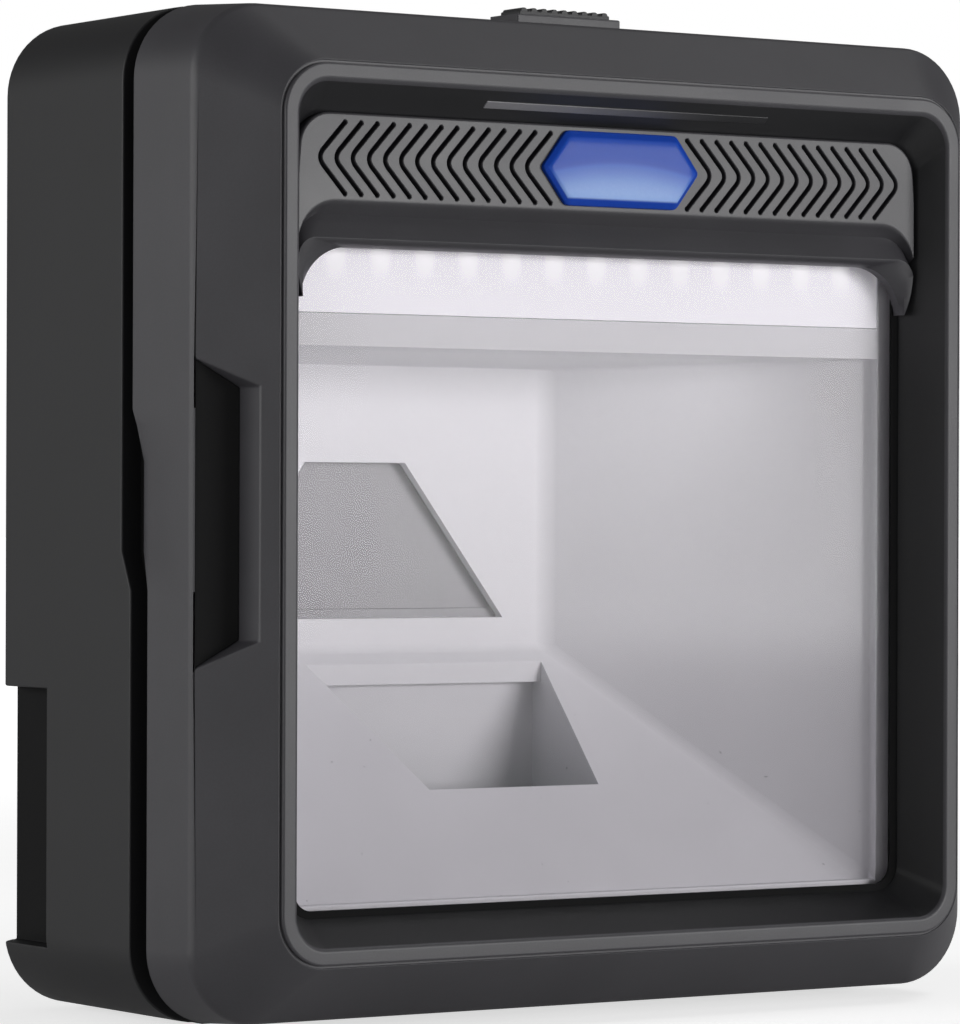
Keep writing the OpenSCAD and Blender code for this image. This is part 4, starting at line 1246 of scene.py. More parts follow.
@dataclass
class RearShell(Assembly):
    """Rear housing with the cable bay, side notches, posts, bosses and seats for the feet."""

    half: float = 73.0
    high: float = 76.0
    corner: float = 11.7
    back: float = 68.0
    chamfer: float = 2.4
    back_corner: float = 10.0
    back_in: float = 6.0
    back_in_corner: float = 8.0
    groove: float = 29.6
    groove_steps: tuple[Point3, ...] = ((-11.4, -2.7, 0.0), (-5.6, 0.0, 0.0))
    rear_face: float = 65.6
    bay_half: float = 67.5
    bay_front: float = 52.3
    bay_z: Point2 = (-66.1, -26.7)
    through: float = 70.0
    bay_walls: Box = ((-70.2, 70.2), (50.3, 67.0), (-68.1, -24.7))
    notch_x: Point2 = (69.5, 80.0)
    post_ends: Point2 = (66.6, 52.3)
    standoff_x: float = 52.0
    standoff_heights: Point2 = (-15.7, 54.0)
    standoff_r: float = 3.0
    standoff_d: Point2 = (61.6, 66.6)
    insert_spot: Point2 = (25.0, 20.0)
    insert_boss_r: float = 4.8
    insert_boss_d: Point2 = (62.2, 66.6)
    insert_r: float = 2.8
    insert_d: Point2 = (60.0, 70.0)
    head_r: float = 2.45
    head_d: Point2 = (37.6, 70.0)
    shank_r: float = 1.4
    shank_d: Point2 = (20.0, 39.0)
    cover_boss_r: float = 3.4
    cover_boss_d: Point2 = (52.0, 65.8)
    fine_steps: int = 32
    shank_steps: int = 16
    front_seat: Box = ((31.85, 58.15), (30.95, 41.85), (-80.0, -75.2))
    rear_seat: Box = ((37.85, 58.15), (58.05, 65.35), (-80.0, -75.2))
    port_hole: Box = ((22.85, 37.15), (52.25, 60.15), (-27.7, -23.7))
    cut_angle: float = 25.0
    wall_x: Point2 = (67.0, 70.3)
    rim_d: float = 67.8
    above_bay: float = -24.0
    rim_x: float = 68.0
    slack: float = 0.1

    def shell(self) -> Piece:
        """Outer and inner skin of the rear shell.

        Returns:
            The shell.
        """
        chamfered = Ring(self.half - self.chamfer, self.chamfer - self.high, self.high - self.chamfer,
                         self.back_corner, self.back)
        closing = Ring(self.half - self.back_in, self.back_in - self.high, self.high - self.back_in,
                       self.back_in_corner, self.back)
        rows = [
            (Ring(CAVITY_HALF, -CAVITY_HIGH, CAVITY_HIGH, CAVITY_R, self.rear_face), 0.0),
            (Ring(CAVITY_HALF, -CAVITY_HIGH, CAVITY_HIGH, CAVITY_R, self.groove, follow=1.0), 0.0),
            (Ring(self.half, -self.high, self.high, self.corner, self.groove, follow=1.0), 0.35),
            (Ring(self.half, -self.high, self.high, self.corner, self.back - self.chamfer), 0.9),
            (chamfered, 0.6),
            (closing, 0.0),
        ]
        return loft("rear_shell", rows, Outline(self.groove_steps), closed=False)

    def additions(self) -> list[Piece]:
        """Bay walls, posts, standoffs and bosses.

        Returns:
            The solids to join.
        """
        parts = [block("bay_walls", *self.bay_walls)]
        x, z = self.insert_spot
        for side in SIDES:
            for height, meet, end in zip(POST_HEIGHTS, POST_MEETS, self.post_ends):
                parts.append(pin("post", side * POST_X, height, POST_R, (meet, end)))
            for height in self.standoff_heights:
                parts.append(pin("standoff", side * self.standoff_x, height, self.standoff_r,
                                 self.standoff_d))
            parts.append(pin("insert_boss", side * x, z, self.insert_boss_r, self.insert_boss_d,
                             self.fine_steps))
        return parts

    def cuts(self) -> list[Piece]:
        """Bay, notches, bores and seats.

        Returns:
            The solids to cut away.
        """
        bay_d = (self.bay_front, self.through)
        parts = [block("bay", (-self.bay_half, self.bay_half), bay_d, self.bay_z)]
        x, z = self.insert_spot
        for side in SIDES:
            parts.append(side_block("notch", side, self.notch_x, bay_d, self.bay_z))
            for height in POST_HEIGHTS:
                parts.append(pin("head_bore", side * POST_X, height, self.head_r, self.head_d))
                parts.append(pin("shank_bore", side * POST_X, height, self.shank_r, self.shank_d,
                                 self.shank_steps))
            parts.append(pin("insert_hole", side * x, z, self.insert_r, self.insert_d, self.fine_steps))
            parts.append(side_block("foot_seat", side, *self.front_seat))
            parts.append(side_block("foot_seat", side, *self.rear_seat))
        parts.append(block("port_hole", *self.port_hole))
        return parts

    def in_notch(self, face: bpy.types.MeshPolygon) -> bool:
        """Whether a face belongs to the end walls beside the cable bay, which are painted black as shade."""
        x, d, z = spot_of(face.center)
        return inside(abs(x), self.wall_x) and d > self.bay_front + self.slack / 2 and inside(z, self.bay_z)

    def is_cut_edge(self, edge: bmesh.types.BMEdge) -> float:
        """Weight of the edges round the bay, the notches, the seats and the bores.

        Args:
            edge: The edge.

        Returns:
            Its weight.
        """
        if edge.calc_face_angle(0.0) < math.radians(self.cut_angle):
            return 0.0
        x, d, z = spot_of((edge.verts[0].co + edge.verts[1].co) / 2)
        x = abs(x)
        in_bay = inside(z, (self.bay_z[0] - self.slack, self.bay_z[1] + self.slack))
        in_bay = in_bay and d > self.bay_front - self.slack
        if in_bay and x > self.wall_x[0]:
            return 1.0
        if in_bay and d > self.rim_d:
            return 0.8
        if z > self.above_bay and d > self.rim_d and x < self.rim_x:
            return 0.4
        return 0.0

    def build(self) -> list[Piece]:
        """Build and dress the rear shell.

        Returns:
            The shell.
        """
        piece = self.shell()
        combine(piece, self.additions(), "UNION")
        combine(piece, self.cuts(), "DIFFERENCE")
        bosses = [pin("cover_boss", side * COVER_SCREW_X, COVER_SCREW_Z, self.cover_boss_r,
                      self.cover_boss_d, self.fine_steps) for side in SIDES]
        combine(piece, bosses, "UNION")
        tidy(piece)
        bevel(piece, self.is_cut_edge, 0.3, 2, clamp=False)
        smooth(piece, 32.0)
        self.dress(piece, Look.REAR, "shell_rear", "rear_housing")
        # The end walls beside the bay get the near-black material of painted shade
        paint_more(piece, self.looks[Look.NOTCH], self.in_notch)
        return [piece]


# Paths


def round_path(points: Sequence[Point2], sizes: Sequence[float], steps: int = 4) -> list[Point2]:
    """Round the corners of an open path.

    Args:
        points: Corner points of the path.
        sizes: How far the rounding of each corner reaches.
        steps: Number of steps in each rounding.

    Returns:
        The rounded path.
    """
    most = 0.6
    out: list[Point2] = []
    for i, (point, size) in enumerate(zip(points, sizes)):
        if size <= 0 or i in (0, len(points) - 1):
            out.append(point)
            continue
        here = Vector(point)
        reach = []
        for other in (Vector(points[i - 1]), Vector(points[i + 1])):
            reach.append(here.lerp(other, min(most, size / (other - here).length)))
        for k in range(steps + 1):
            t = k / steps
            spot = reach[0].lerp(here, t).lerp(here.lerp(reach[1], t), t)
            out.append((spot.x, spot.y))
    return out


def stroke(path: Sequence[Point2], width: float, end_width: float, end_steps: int = 8) -> list[Point2]:
    """Outline of a line with larger round ends.

    Args:
        path: Points of the line.
        width: Its width.
        end_width: Width of its round ends.
        end_steps: Number of steps round each end.

    Returns:
        Points of the outline.
    """
    half = width / 2
    radius = end_width / 2
    back = math.sqrt(max(0.0, radius * radius - half * half))
    points = [Vector(p) for p in path]
    ends = ((points[-1], (points[-1] - points[-2]).normalized()),
            (points[0], (points[0] - points[1]).normalized()))
    points[-1] = points[-1] - ends[0][1] * back
    points[0] = points[0] - ends[1][1] * back
    left: list[Point2] = []
    right: list[Point2] = []
    for i, point in enumerate(points):
        before = points[max(0, i - 1)]
        after = points[min(len(points) - 1, i + 1)]
        along = (after - before).normalized()
        across = Vector((-along.y, along.x))
        left.append(tuple(point + across * half))
        right.append(tuple(point - across * half))
    arcs: list[list[Point2]] = []
    start = math.asin(min(1.0, half / radius))
    for centre, along in ends:
        across = Vector((-along.y, along.x))
        arc = []
        for k in range(1, end_steps):
            turn = blend(start - math.pi / 2, math.pi * 3 / 2 - start, k / end_steps)
            reach = centre + across * (radius * math.cos(turn))
            arc.append(tuple(reach + along * (radius * math.sin(turn))))
        arcs.append(arc)
    return left + arcs[0] + right[::-1] + arcs[1]


# Geometry Nodes


class NodeGroup:
    """Geometry Nodes tree with named inputs."""

    def __init__(self, name: str, inputs: dict[str, str]) -> None:
        """Start a tree.

        Args:
            name: Name of the tree.
            inputs: Kind of socket of each named input.
        """
        self.tree = bpy.data.node_groups.new(name, "GeometryNodeTree")
        face = self.tree.interface
        for label, kind in {"Geometry": "Geometry", **inputs}.items():
            face.new_socket(label, in_out="INPUT", socket_type="NodeSocket" + kind)
        face.new_socket("Geometry", in_out="OUTPUT", socket_type="NodeSocketGeometry")
        self.start = self.tree.nodes.new("NodeGroupInput")
        self.end = self.tree.nodes.new("NodeGroupOutput")

    def value(self, label: str) -> bpy.types.NodeSocket:
        """Socket of a named input."""
        return self.start.outputs[label]

    def add(self, kind: str, settings: dict[str, Any], inputs: dict[Any, Any],
            output: int | str = 0) -> bpy.types.NodeSocket:
        """Add a node and return one of its outputs.

        Args:
            kind: The node's type.
            settings: The node's own settings.
            inputs: Values, links or lists of links by socket name or number.
            output: Name or number of the output wanted.

        Returns:
            The output socket.
        """
        made = self.tree.nodes.new(kind)
        for key, value in settings.items():
            setattr(made, key, value)
        for key, value in inputs.items():
            for one in value if isinstance(value, list) else [value]:
                if isinstance(one, bpy.types.NodeSocket):
                    self.tree.links.new(one, made.inputs[key])
                else:
                    made.inputs[key].default_value = one
        return made.outputs[output]

    def shape(self, tool: Piece) -> bpy.types.NodeSocket:
        """Geometry of another object, as it stands in its own mesh."""
        settings = {"transform_space": "ORIGINAL"}
        return self.add("GeometryNodeObjectInfo", settings, {"Object": tool}, "Geometry")

    def finish(self, geometry: bpy.types.NodeSocket) -> bpy.types.NodeTree:
        """End the tree in Realize Instances and Set Material.

        Args:
            geometry: The geometry to end with.

        Returns:
            The tree.
        """
        real = self.add("GeometryNodeRealizeInstances", {}, {0: geometry})
        inputs = {"Geometry": real, "Material": self.value("Finish")}
        self.tree.links.new(self.add("GeometryNodeSetMaterial", {}, inputs), self.end.inputs[0])
        return self.tree


def slot_tree(tool: Piece) -> bpy.types.NodeTree:
    """Tree that cuts a row of slots on each side of the middle.

    Args:
        tool: Solid of one slot about the origin.

    Returns:
        The tree.
    """
    group = NodeGroup("sound_slots", {"Count": "Int", "Pitch": "Float", "Start": "Float", "Depth": "Float",
                                      "Height": "Float", "Finish": "Material"})
    start = group.add("ShaderNodeCombineXYZ", {}, {"X": group.value("Start")})
    pitch = group.add("ShaderNodeCombineXYZ", {}, {"X": group.value("Pitch")})
    line = group.add("GeometryNodeMeshLine", {"mode": "OFFSET"},
                     {"Count": group.value("Count"), "Start Location": start, "Offset": pitch})
    right = group.add("GeometryNodeInstanceOnPoints", {}, {"Points": line, "Instance": group.shape(tool)})
    right = group.add("GeometryNodeRealizeInstances", {}, {0: right})
    flipped = group.add("GeometryNodeTransform", {}, {"Geometry": right, "Scale": (-1.0, 1.0, 1.0)})
    left = group.add("GeometryNodeFlipFaces", {}, {"Mesh": flipped})
    both = group.add("GeometryNodeJoinGeometry", {}, {0: [right, left]})
    lift = group.add("ShaderNodeCombineXYZ", {}, {"Y": group.value("Depth"), "Z": group.value("Height")})
    placed = group.add("GeometryNodeTransform", {}, {"Geometry": both, "Translation": lift})
    return group.finish(group.add("GeometryNodeMeshBoolean", {"operation": "DIFFERENCE", "solver": "EXACT"},
                                  {"Mesh 1": group.value("Geometry"), "Mesh 2": placed}))


def scatter_tree(tool: Piece) -> bpy.types.NodeTree:
    """Tree that puts a copy of a shape on each point and joins them.

    Args:
        tool: The shape.

    Returns:
        The tree.
    """
    group = NodeGroup("copies", {"Finish": "Material"})
    inputs = {"Points": group.value("Geometry"), "Instance": group.shape(tool)}
    return group.finish(group.add("GeometryNodeInstanceOnPoints", {}, inputs))


def grow(piece: Piece, tree: bpy.types.NodeTree, values: dict[str, Any], tool: Piece) -> None:
    """Run a Geometry Nodes tree on a piece, make it a plain mesh and remove the tree's tool.

    Args:
        piece: The piece.
        tree: The tree.
        values: Its named inputs.
        tool: The object that the tree reads.
    """
    made = piece.modifiers.new("nodes", "NODES")
    made.node_group = tree
    for item in tree.interface.items_tree:
        if item.item_type == "SOCKET" and item.in_out == "INPUT" and item.name in values:
            made[item.identifier] = values[item.name]
    bake(piece)
    bpy.data.objects.remove(tool)


# Brow and badge


@dataclass
class Brow(Assembly):
    """Bar over the window with sound slots, a cove, and a lip whose tips hang down beside the window."""

    half: float = 57.5
    top: float = 59.1
    corner: float = 5.4
    corner_steps: int = 10
    face_d: float = 4.9
    back_d: float = 8.3
    edge_d: float = 6.6
    edge_turn: float = 5.0
    window_in: float = 1.3
    window_top: float = 39.4
    window_r: float = 8.2
    curls: tuple[Point3, ...] = ((0.95, 5.7, 0.35), (0.95, 5.2, 0.75))
    curl_end: Point2 = (12.0, 5.9)
    lip_rise: float = 1.0
    lip_d: float = 4.98
    lip_end: Point2 = (12.0, 5.7)
    lip_r: float = 3.0
    lip_centre: float = 54.55
    face_r: float = 6.7
    face_centre: float = 51.0
    roll: float = 6.6
    tip: Point2 = (56.3, 31.9)
    tip_bulge: float = 0.35
    arc_steps: int = 16
    tail_steps: int = 8
    cove: tuple[Point2, ...] = ((1.25, 4.94), (1.5, 5.05), (1.9, 5.22), (2.8, 5.62), (3.8, 6.06),
                                (4.75, 6.48), (5.35, 6.02), (5.85, 5.58), (6.2, 5.24), (6.5, 5.01),
                                (6.8, 4.92), (7.1, 4.9))
    slot_z: float = 52.4
    slot_w: float = 0.62
    slot_end: float = 0.4
    slot_h: float = 10.5
    slot_point: float = 4.85
    slot_elbow: float = 1.7
    slot_elbow_steps: int = 7
    slot_start: float = 12.5
    slot_pitch: float = 2.83
    slot_count: int = 14
    flare: float = 0.12
    slot_front: float = 0.3
    slot_back: float = 0.5
    outer_angle: float = 60.0
    outer_low: float = 3.0
    slack: float = 0.1

    def window_row(self, depth: float) -> list[Vector]:
        """Row along the window's upper edge and corners, left to right.

        Args:
            depth: Its depth.

        Returns:
            Its points.
        """
        centre = self.half - self.window_in - self.window_r
        steps = self.arc_steps + self.tail_steps
        half = []
        for i in range(steps + 1):
            turn = math.radians(blend(90.0, self.edge_turn, i / steps))
            rise = self.window_top - self.window_r + self.window_r * math.sin(turn)
            half.append((centre + self.window_r * math.cos(turn), rise))
        line = [(-x, h) for x, h in reversed(half)] + [(0.0, self.window_top)] + half
        return [place(x, depth, h) for x, h in line]

    def row(self, rise: float, depth: float, centre: float, radius: float, last: Point2,
            tail: int = 0) -> list[Vector]:
        """One row across the brow, left to right.

        Args:
            rise: Height of its straight part above the window.
            depth: Its depth.
            centre: Side at which its arcs start.
            radius: Radius of its arcs.
            last: Angle at which its arcs end, in degrees, and depth of its ends.
            tail: Number of steps from its arcs' ends to the brow's tips.

        Returns:
            Its points.
        """
        z = self.window_top + rise - radius
        half = []
        for i in range(self.arc_steps + 1):
            turn = math.radians(blend(90.0, last[0], i / self.arc_steps))
            half.append((centre + radius * math.cos(turn), depth, z + radius * math.sin(turn)))
        x, d, low = half[-1]
        for i in range(1, tail + 1):
            t = i / tail
            bulge = self.tip_bulge * math.sin(math.pi * t)
            half.append((blend(x, self.tip[0], t) + bulge, blend(d, last[1], t),
                         blend(low, self.tip[1], t)))
        line = [(-x, d, low) for x, d, low in reversed(half)] + [(0.0, depth, self.window_top + rise)] + half
        return [place(*point) for point in line]

    def curl_row(self, rise: float, depth: float, share: float) -> list[Vector]:
        """Row between the window's edge and the lip."""
        lip = self.row(rise, depth, self.lip_centre, self.lip_r, self.curl_end, self.tail_steps)
        return [p.lerp(q, share) for p, q in zip(self.window_row(depth), lip)]

    def body(self) -> Piece:
        """The brow without its slots.

        Returns:
            The solid.
        """
        skin = Skin()
        tail = self.tail_steps
        low = [skin.row(self.window_row(depth)) for depth in (self.back_d, self.edge_d)]
        low += [skin.row(self.curl_row(*curl)) for curl in self.curls]
        low.append(skin.row(self.row(self.lip_rise, self.lip_d, self.lip_centre, self.lip_r, self.lip_end,
                                     tail)))
        skin.bridge(low, closed=False)
        rows = [low[-1][tail:-tail]]
        for rise, depth in self.cove:
            share = min(1.0, (rise - self.lip_rise) / (self.roll - self.lip_rise))
            radius = blend(self.lip_r, self.face_r, share)
            centre = blend(self.lip_centre, self.face_centre, share)
            last = math.degrees(math.acos(min(1.0, (self.half - centre) / radius)))
            rows.append(skin.row(self.row(rise, depth, centre, radius, (last, depth))))
        skin.bridge(rows, closed=False)
        turns = [math.pi / 2 * i / self.corner_steps for i in range(self.corner_steps + 1)]
        upper = [(self.half - self.corner + self.corner * math.cos(t),
                  self.top - self.corner + self.corner * math.sin(t)) for t in turns]
        upper += [(-x, z) for x, z in reversed(upper)]
        front = skin.row([place(x, self.face_d, z) for x, z in upper])
        skin.cap(rows[-1] + front)
        right = [row[-1] for row in low[1:]] + low[-1][-tail - 1:-1][::-1] + [row[-1] for row in rows[1:]]
        left = [row[0] for row in low[1:]] + low[-1][1:tail + 1] + [row[0] for row in rows[1:]]
        edge = right + front + left[::-1]
        back_y = (FRONT_Y + self.back_d) * MM
        behind = skin.row([Vector((skin.points[i].x, back_y, skin.points[i].z)) for i in edge])
        chain = [low[0][-1]] + edge + [low[0][0]]
        chain_back = [low[0][-1]] + behind + [low[0][0]]
        for i in range(len(chain) - 1):
            face = (chain[i], chain[i + 1], chain_back[i + 1], chain_back[i])
            skin.faces.append(tuple(dict.fromkeys(face)))
        skin.cap(low[0] + behind)
        return skin.solid("brow")

    def slot_outline(self, width: float) -> list[Point2]:
        """Outline of one slot with rounded ends, its point to the right, from its ends at 0.

        Args:
            width: Width of the slot.

        Returns:
            Points of the outline.
        """
        arm = self.slot_h / 2
        path = round_path([(0.0, arm), (self.slot_point, 0.0), (0.0, -arm)], [0.0, self.slot_elbow, 0.0],
                          steps=self.slot_elbow_steps)
        return stroke(path, width, width + self.slot_end - self.slot_w / 2)

    def slot_tool(self) -> Piece:
        """Solid that cuts one slot, flared at its front.

        Returns:
            The solid.
        """
        wide = self.slot_w + 2 * (self.flare + self.slot_front)
        levels = ((self.face_d - self.slot_front, wide), (self.face_d + self.flare, self.slot_w),
                  (self.back_d + self.slot_back, self.slot_w))
        return solid_over("slot_tool", [[Vector((x * MM, depth * MM, z * MM))
                                         for x, z in self.slot_outline(width)] for depth, width in levels])

    def is_outer_edge(self, edge: bmesh.types.BMEdge) -> float:
        """Weight of the edge between the flat face and the outer walls.

        Args:
            edge: The edge.

        Returns:
            Its weight.
        """
        if edge.calc_face_angle(0.0) < math.radians(self.outer_angle):
            return 0.0
        spots = [spot_of(vert.co) for vert in edge.verts]
        low = min(z for x, d, z in spots)
        near = all(abs(d - self.face_d) < self.slack / 10 for x, d, z in spots)
        side = any(abs(x) > self.half - self.corner - self.slack for x, d, z in spots)
        top = low > self.top - self.corner - self.slack
        return 1.0 if near and low > self.window_top + self.outer_low and (side or top) else 0.0

    def build(self) -> list[Piece]:
        """Build and dress the brow.

        Returns:
            The brow.
        """
        piece = self.body()
        bevel(piece, self.is_outer_edge, 0.4, 3, clamp=False)
        tool = self.slot_tool()
        values = {"Count": self.slot_count, "Pitch": self.slot_pitch * MM,
                  "Start": self.slot_start * MM + self.slot_w * MM / 2, "Depth": FRONT_Y * MM,
                  "Height": (MID_Z + self.slot_z) * MM, "Finish": self.looks[Look.BROW]}
        grow(piece, slot_tree(tool), values, tool)
        smooth(piece, 30.0)
        return [self.dress(piece, Look.BROW, "brow_plastic", "brow_cover")]


@dataclass
class Badge(Assembly):
    """Blank domed hexagon on the middle of the brow."""

    point: float = 4.4
    base_d: float = 4.9
    corner: float = 0.7
    corner_loss: float = 0.1
    corner_least: float = 0.05
    levels: tuple[Point2, ...] = ((0.0, -0.05), (0.0, 0.45), (0.06, 0.58), (0.18, 0.68), (0.8, 1.0),
                                  (0.95, 1.06), (1.2, 1.1), (2.0, 1.16), (3.0, 1.21), (4.0, 1.24),
                                  (5.0, 1.25))

    def outline(self, inset: float) -> list[Point2]:
        """Hexagon with slightly rounded corners, moved in by an inset.

        Args:
            inset: How far it is moved in.

        Returns:
            Its points.
        """
        slope = math.hypot(BADGE_HALF_H, self.point)
        tip = BADGE_HALF - inset * slope / BADGE_HALF_H
        flat_z = BADGE_HALF_H - inset
        flat_x = tip - self.point * flat_z / BADGE_HALF_H
        corners = [(tip, 0.0), (flat_x, flat_z), (-flat_x, flat_z), (-tip, 0.0), (-flat_x, -flat_z),
                   (flat_x, -flat_z)]
        size = max(self.corner_least, self.corner - inset * self.corner_loss)
        out: list[Point2] = []
        for i, corner in enumerate(corners):
            path = round_path([corners[i - 1], corner, corners[(i + 1) % 6]], [0, size, 0])
            out += path[1:-1]
        return out

    def build(self) -> list[Piece]:
        """Build and dress the badge.

        Returns:
            The badge.
        """
        rows = [[place(x, self.base_d - rise, BADGE_MIDDLE + z) for x, z in self.outline(inset)]
                for inset, rise in self.levels]
        piece = solid_over("badge_plate", rows)
        smooth(piece, 40.0)
        return [self.dress(piece, Look.BADGE, "blue_badge", "badge")]


# Window and light chamber


@dataclass
class Window(Assembly):
    """Clear pane with softened edges."""

    half: float = 58.7
    low: float = -60.6
    high: float = 42.0
    corner: float = 4.0
    front: float = 8.8
    back: float = 10.8
    soft: float = 0.35
    corner_steps: int = 10

    def ring(self, depth: float, inset: float) -> Ring:
        """Outline of the pane at a depth, moved in by an inset."""
        return Ring(self.half - inset, inset + self.low, self.high - inset, self.corner - inset, depth)

    def build(self) -> list[Piece]:
        """Build and dress the pane.

        Returns:
            The pane.
        """
        rows = [(self.ring(self.front, self.soft), 0.0), (self.ring(self.front, 0.0), self.soft),
                (self.ring(self.back, 0.0), self.soft), (self.ring(self.back, self.soft), 0.0)]
        piece = loft("clear_window", rows, Outline(corner_steps=self.corner_steps), closed=False, steps=3)
        smooth(piece, 50.0)
        return [self.dress(piece, Look.PANE, "clear_pane", "window_pane")]


@dataclass
class LightChamber(Assembly):
    """Pale funnel behind the window, its folds softened."""

    back_d: float = 45.0
    back_x: Point2 = (-50.0, 14.2)
    back_z: Point2 = (-21.3, 23.5)
    mouth_d: float = 12.8
    mouth_x: Point2 = (-54.9, 54.9)
    mouth_z: Point2 = (-58.2, 25.0)
    merge: float = 3e-5
    edge_x: Point2 = (-21.5, 11.6)
    edge_d: Point2 = (30.5, 32.5)
    edge_top: float = -30.0
    edge_right: float = 0.9
    fold_angle: float = 8.0
    fold_off: float = 0.25
    fold_over: float = 0.3

    def folds(self) -> list[tuple[Vector, Vector, float]]:
        """Start, end and softness of each fold that the window shows.

        Returns:
            The folds.
        """
        left_low, left_high, right_low, right_high = [
            place(x, self.back_d, z) for x in self.back_x for z in self.back_z]
        mouth_left_low, mouth_left_high, mouth_right_low, mouth_right_high = [
            place(x, self.mouth_d, z) for x in self.mouth_x for z in self.mouth_z]
        return [
            (right_low, right_high, 1.0),
            (right_low, mouth_right_low, 0.8),
            (left_low, right_low, 0.45),
            (left_high, right_high, 0.45),
            (right_high, mouth_right_high, 0.45),
            (left_low, left_high, 0.45),
            (left_low, mouth_left_low, 0.45),
            (left_high, mouth_left_high, 0.45),
            (mouth_left_high, mouth_right_high, 0.3),
        ]

    def widen(self, piece: Piece) -> None:
        """Move the front edge of the floor aperture to where the photograph shows it.

        Args:
            piece: The chamber.
        """
        fall = (self.back_z[0] - self.mouth_z[0]) / (self.back_d - self.mouth_d)
        shift = Vector((self.edge_right * MM, -APERTURE_MORE * MM, -APERTURE_MORE * fall * MM))
        for vert in piece.data.vertices:
            x, d, z = spot_of(vert.co)
            if inside(x, self.edge_x) and inside(d, self.edge_d) and z < self.edge_top:
                vert.co += shift

    def weight(self, edge: bmesh.types.BMEdge) -> float:
        """Weight of an edge that lies on one of the folds.

        Args:
            edge: The edge.

        Returns:
            Its weight.
        """
        if edge.calc_face_angle(0.0) < math.radians(self.fold_angle):
            return 0.0
        over = self.fold_over * MM
        for start, end, weight in self.folds():
            along = (end - start).normalized()
            length = (end - start).length
            near = 0
            for vert in edge.verts:
                reach = (vert.co - start).dot(along)
                off = (vert.co - start - along * reach).length
                near += off < self.fold_off * MM and -over < reach < length + over
            if near == 2:
                return weight
        return 0.0

    def build(self) -> list[Piece]:
        """Build and dress the chamber.

        Returns:
            The chamber.
        """
        piece = copy_node(self.frame, "optical_chamber", "light_chamber")
        tidy(piece, merge=self.merge, flat=NODE_FLAT)
        self.widen(piece)
        bevel(piece, self.weight, 1.8, 6)
        smooth(piece, 35.0)
        return [self.dress(piece, Look.CHAMBER, "chamber_white", "optical_chamber")]


@dataclass
class CameraFilter(Assembly):
    """Grey plate across the camera tunnel, darker than the chamber as painted shade of the deep tunnel, its
    left part thinner and lighter, with a small clip.
    """

    middle: float = -22.0
    half: float = 28.45
    z: Point2 = (-17.1, 8.8)
    front: float = 47.2
    back: float = 47.9
    sink: float = 0.2
    ledge_out: float = 0.5
    ledge_h: float = 2.2
    frame_out: float = 0.3
    frame_w: float = 19.0
    frame_rise: float = 2.0
    clip_out: float = 1.1
    clip_x: Point2 = (13.0, 18.5)
    clip_z: Point2 = (-7.6, -6.6)

    def build(self) -> list[Piece]:
        """Build and dress the plate.

        Returns:
            The plate.
        """
        left, right = self.middle - self.half, self.middle + self.half
        low, high = self.z
        back = self.front + self.sink
        piece = block("camera_filter", (left, right), (self.front, self.back), self.z)
        ledge = block("ledge", (left, right), (self.front - self.ledge_out, back), (low, low + self.ledge_h))
        frame = block("frame", (left, left + self.frame_w), (self.front - self.frame_out, back),
                      (low + self.frame_rise, high))
        clip = block("clip", (left + self.clip_x[0], left + self.clip_x[1]),
                     (self.front - self.clip_out, back), self.clip_z)
        combine(piece, [ledge, frame, clip], "UNION")
        tidy(piece)
        bevel(piece, sharper(1.0), 0.15, 2)
        smooth(piece, 40.0)
        # Its grey is painted shade
        return [self.dress(piece, Look.FILTER, "chamber_white")]


@dataclass
class ChamberRim(Assembly):
    """Pale rim behind the pane, at the sides and below, where the chamber meets the frame."""

    x: Point2 = (55.4, 58.6)
    d: Point2 = (11.0, 12.7)
    low: Point2 = (-60.4, -57.9)
    high: float = 29.4

    def build(self) -> list[Piece]:
        """Build and dress the rim.

        Returns:
            The rim.
        """
        piece = block("chamber_rim", (-self.x[1], self.x[1]), self.d, self.low)
        ends = [side_block("side", side, self.x, self.d, (self.low[0], self.high)) for side in SIDES]
        combine(piece, ends, "UNION")
        tidy(piece)
        bevel(piece, sharper(1.0), 0.25, 2)
        smooth(piece, 40.0)
        return [self.dress(piece, Look.CHAMBER, "chamber_white")]


@dataclass
class AimerTunnel(Assembly):
    """Walls below the floor aperture, their front wall moved with the aperture's edge."""

    fall: float = 1.146
    front_wall: float = 33.0
    top: float = -47.0
    inner_d: float = 44.6
    flush_d: float = 43.12
    inner_x: Point2 = (12.2, 13.2)
    flush_x: float = 12.3

    def build(self) -> list[Piece]:
        """Build and dress the walls.

        Returns:
            The walls.
        """
        piece = copy_node(self.frame, "lower_shroud", "aimer_tunnel")
        for vert in piece.data.vertices:
            x, d, z = spot_of(vert.co)
            if d < self.front_wall:
                drop = APERTURE_MORE * self.fall if z > self.top else 0.0
                vert.co += Vector((0.0, -APERTURE_MORE * MM, -drop * MM))
            elif d < self.inner_d:
                vert.co.y = (FRONT_Y + self.flush_d) * MM
            if inside(x, self.inner_x):
                vert.co.x = self.flush_x * MM
        bevel(piece, sharper(0.6), 0.06, 2)
        smooth(piece, 35.0)
        return [self.dress(piece, Look.CHAMBER, "chamber_white", "lower_shroud")]


@dataclass
class PocketPads(Assembly):
    """Black pads that fill the floors of the pockets, thicker to the outside."""

    x: Point2 = (65.35, 71.55)
    front: Point2 = (8.5, 10.75)
    halves: Point2 = (18.45, 22.55)
    under: float = 5.95

    def build(self) -> list[Piece]:
        """Build and dress the pads.

        Returns:
            The left and the right pad.
        """
        depths = [(front, under_bevel(x, self.under)) for x, front in zip(self.x, self.front)]
        pads = []
        for side, name in zip(SIDES, ("left", "right")):
            pad = hexahedron("pad_" + name, (side * self.x[0], side * self.x[1]), depths, self.halves)
            bevel(pad, lambda edge: 1.0, 0.12, 2)
            smooth(pad, 32.0)
            pads.append(self.dress(pad, Look.PAD, "black_pad", "pocket_pad_" + name))
        return pads


# Button


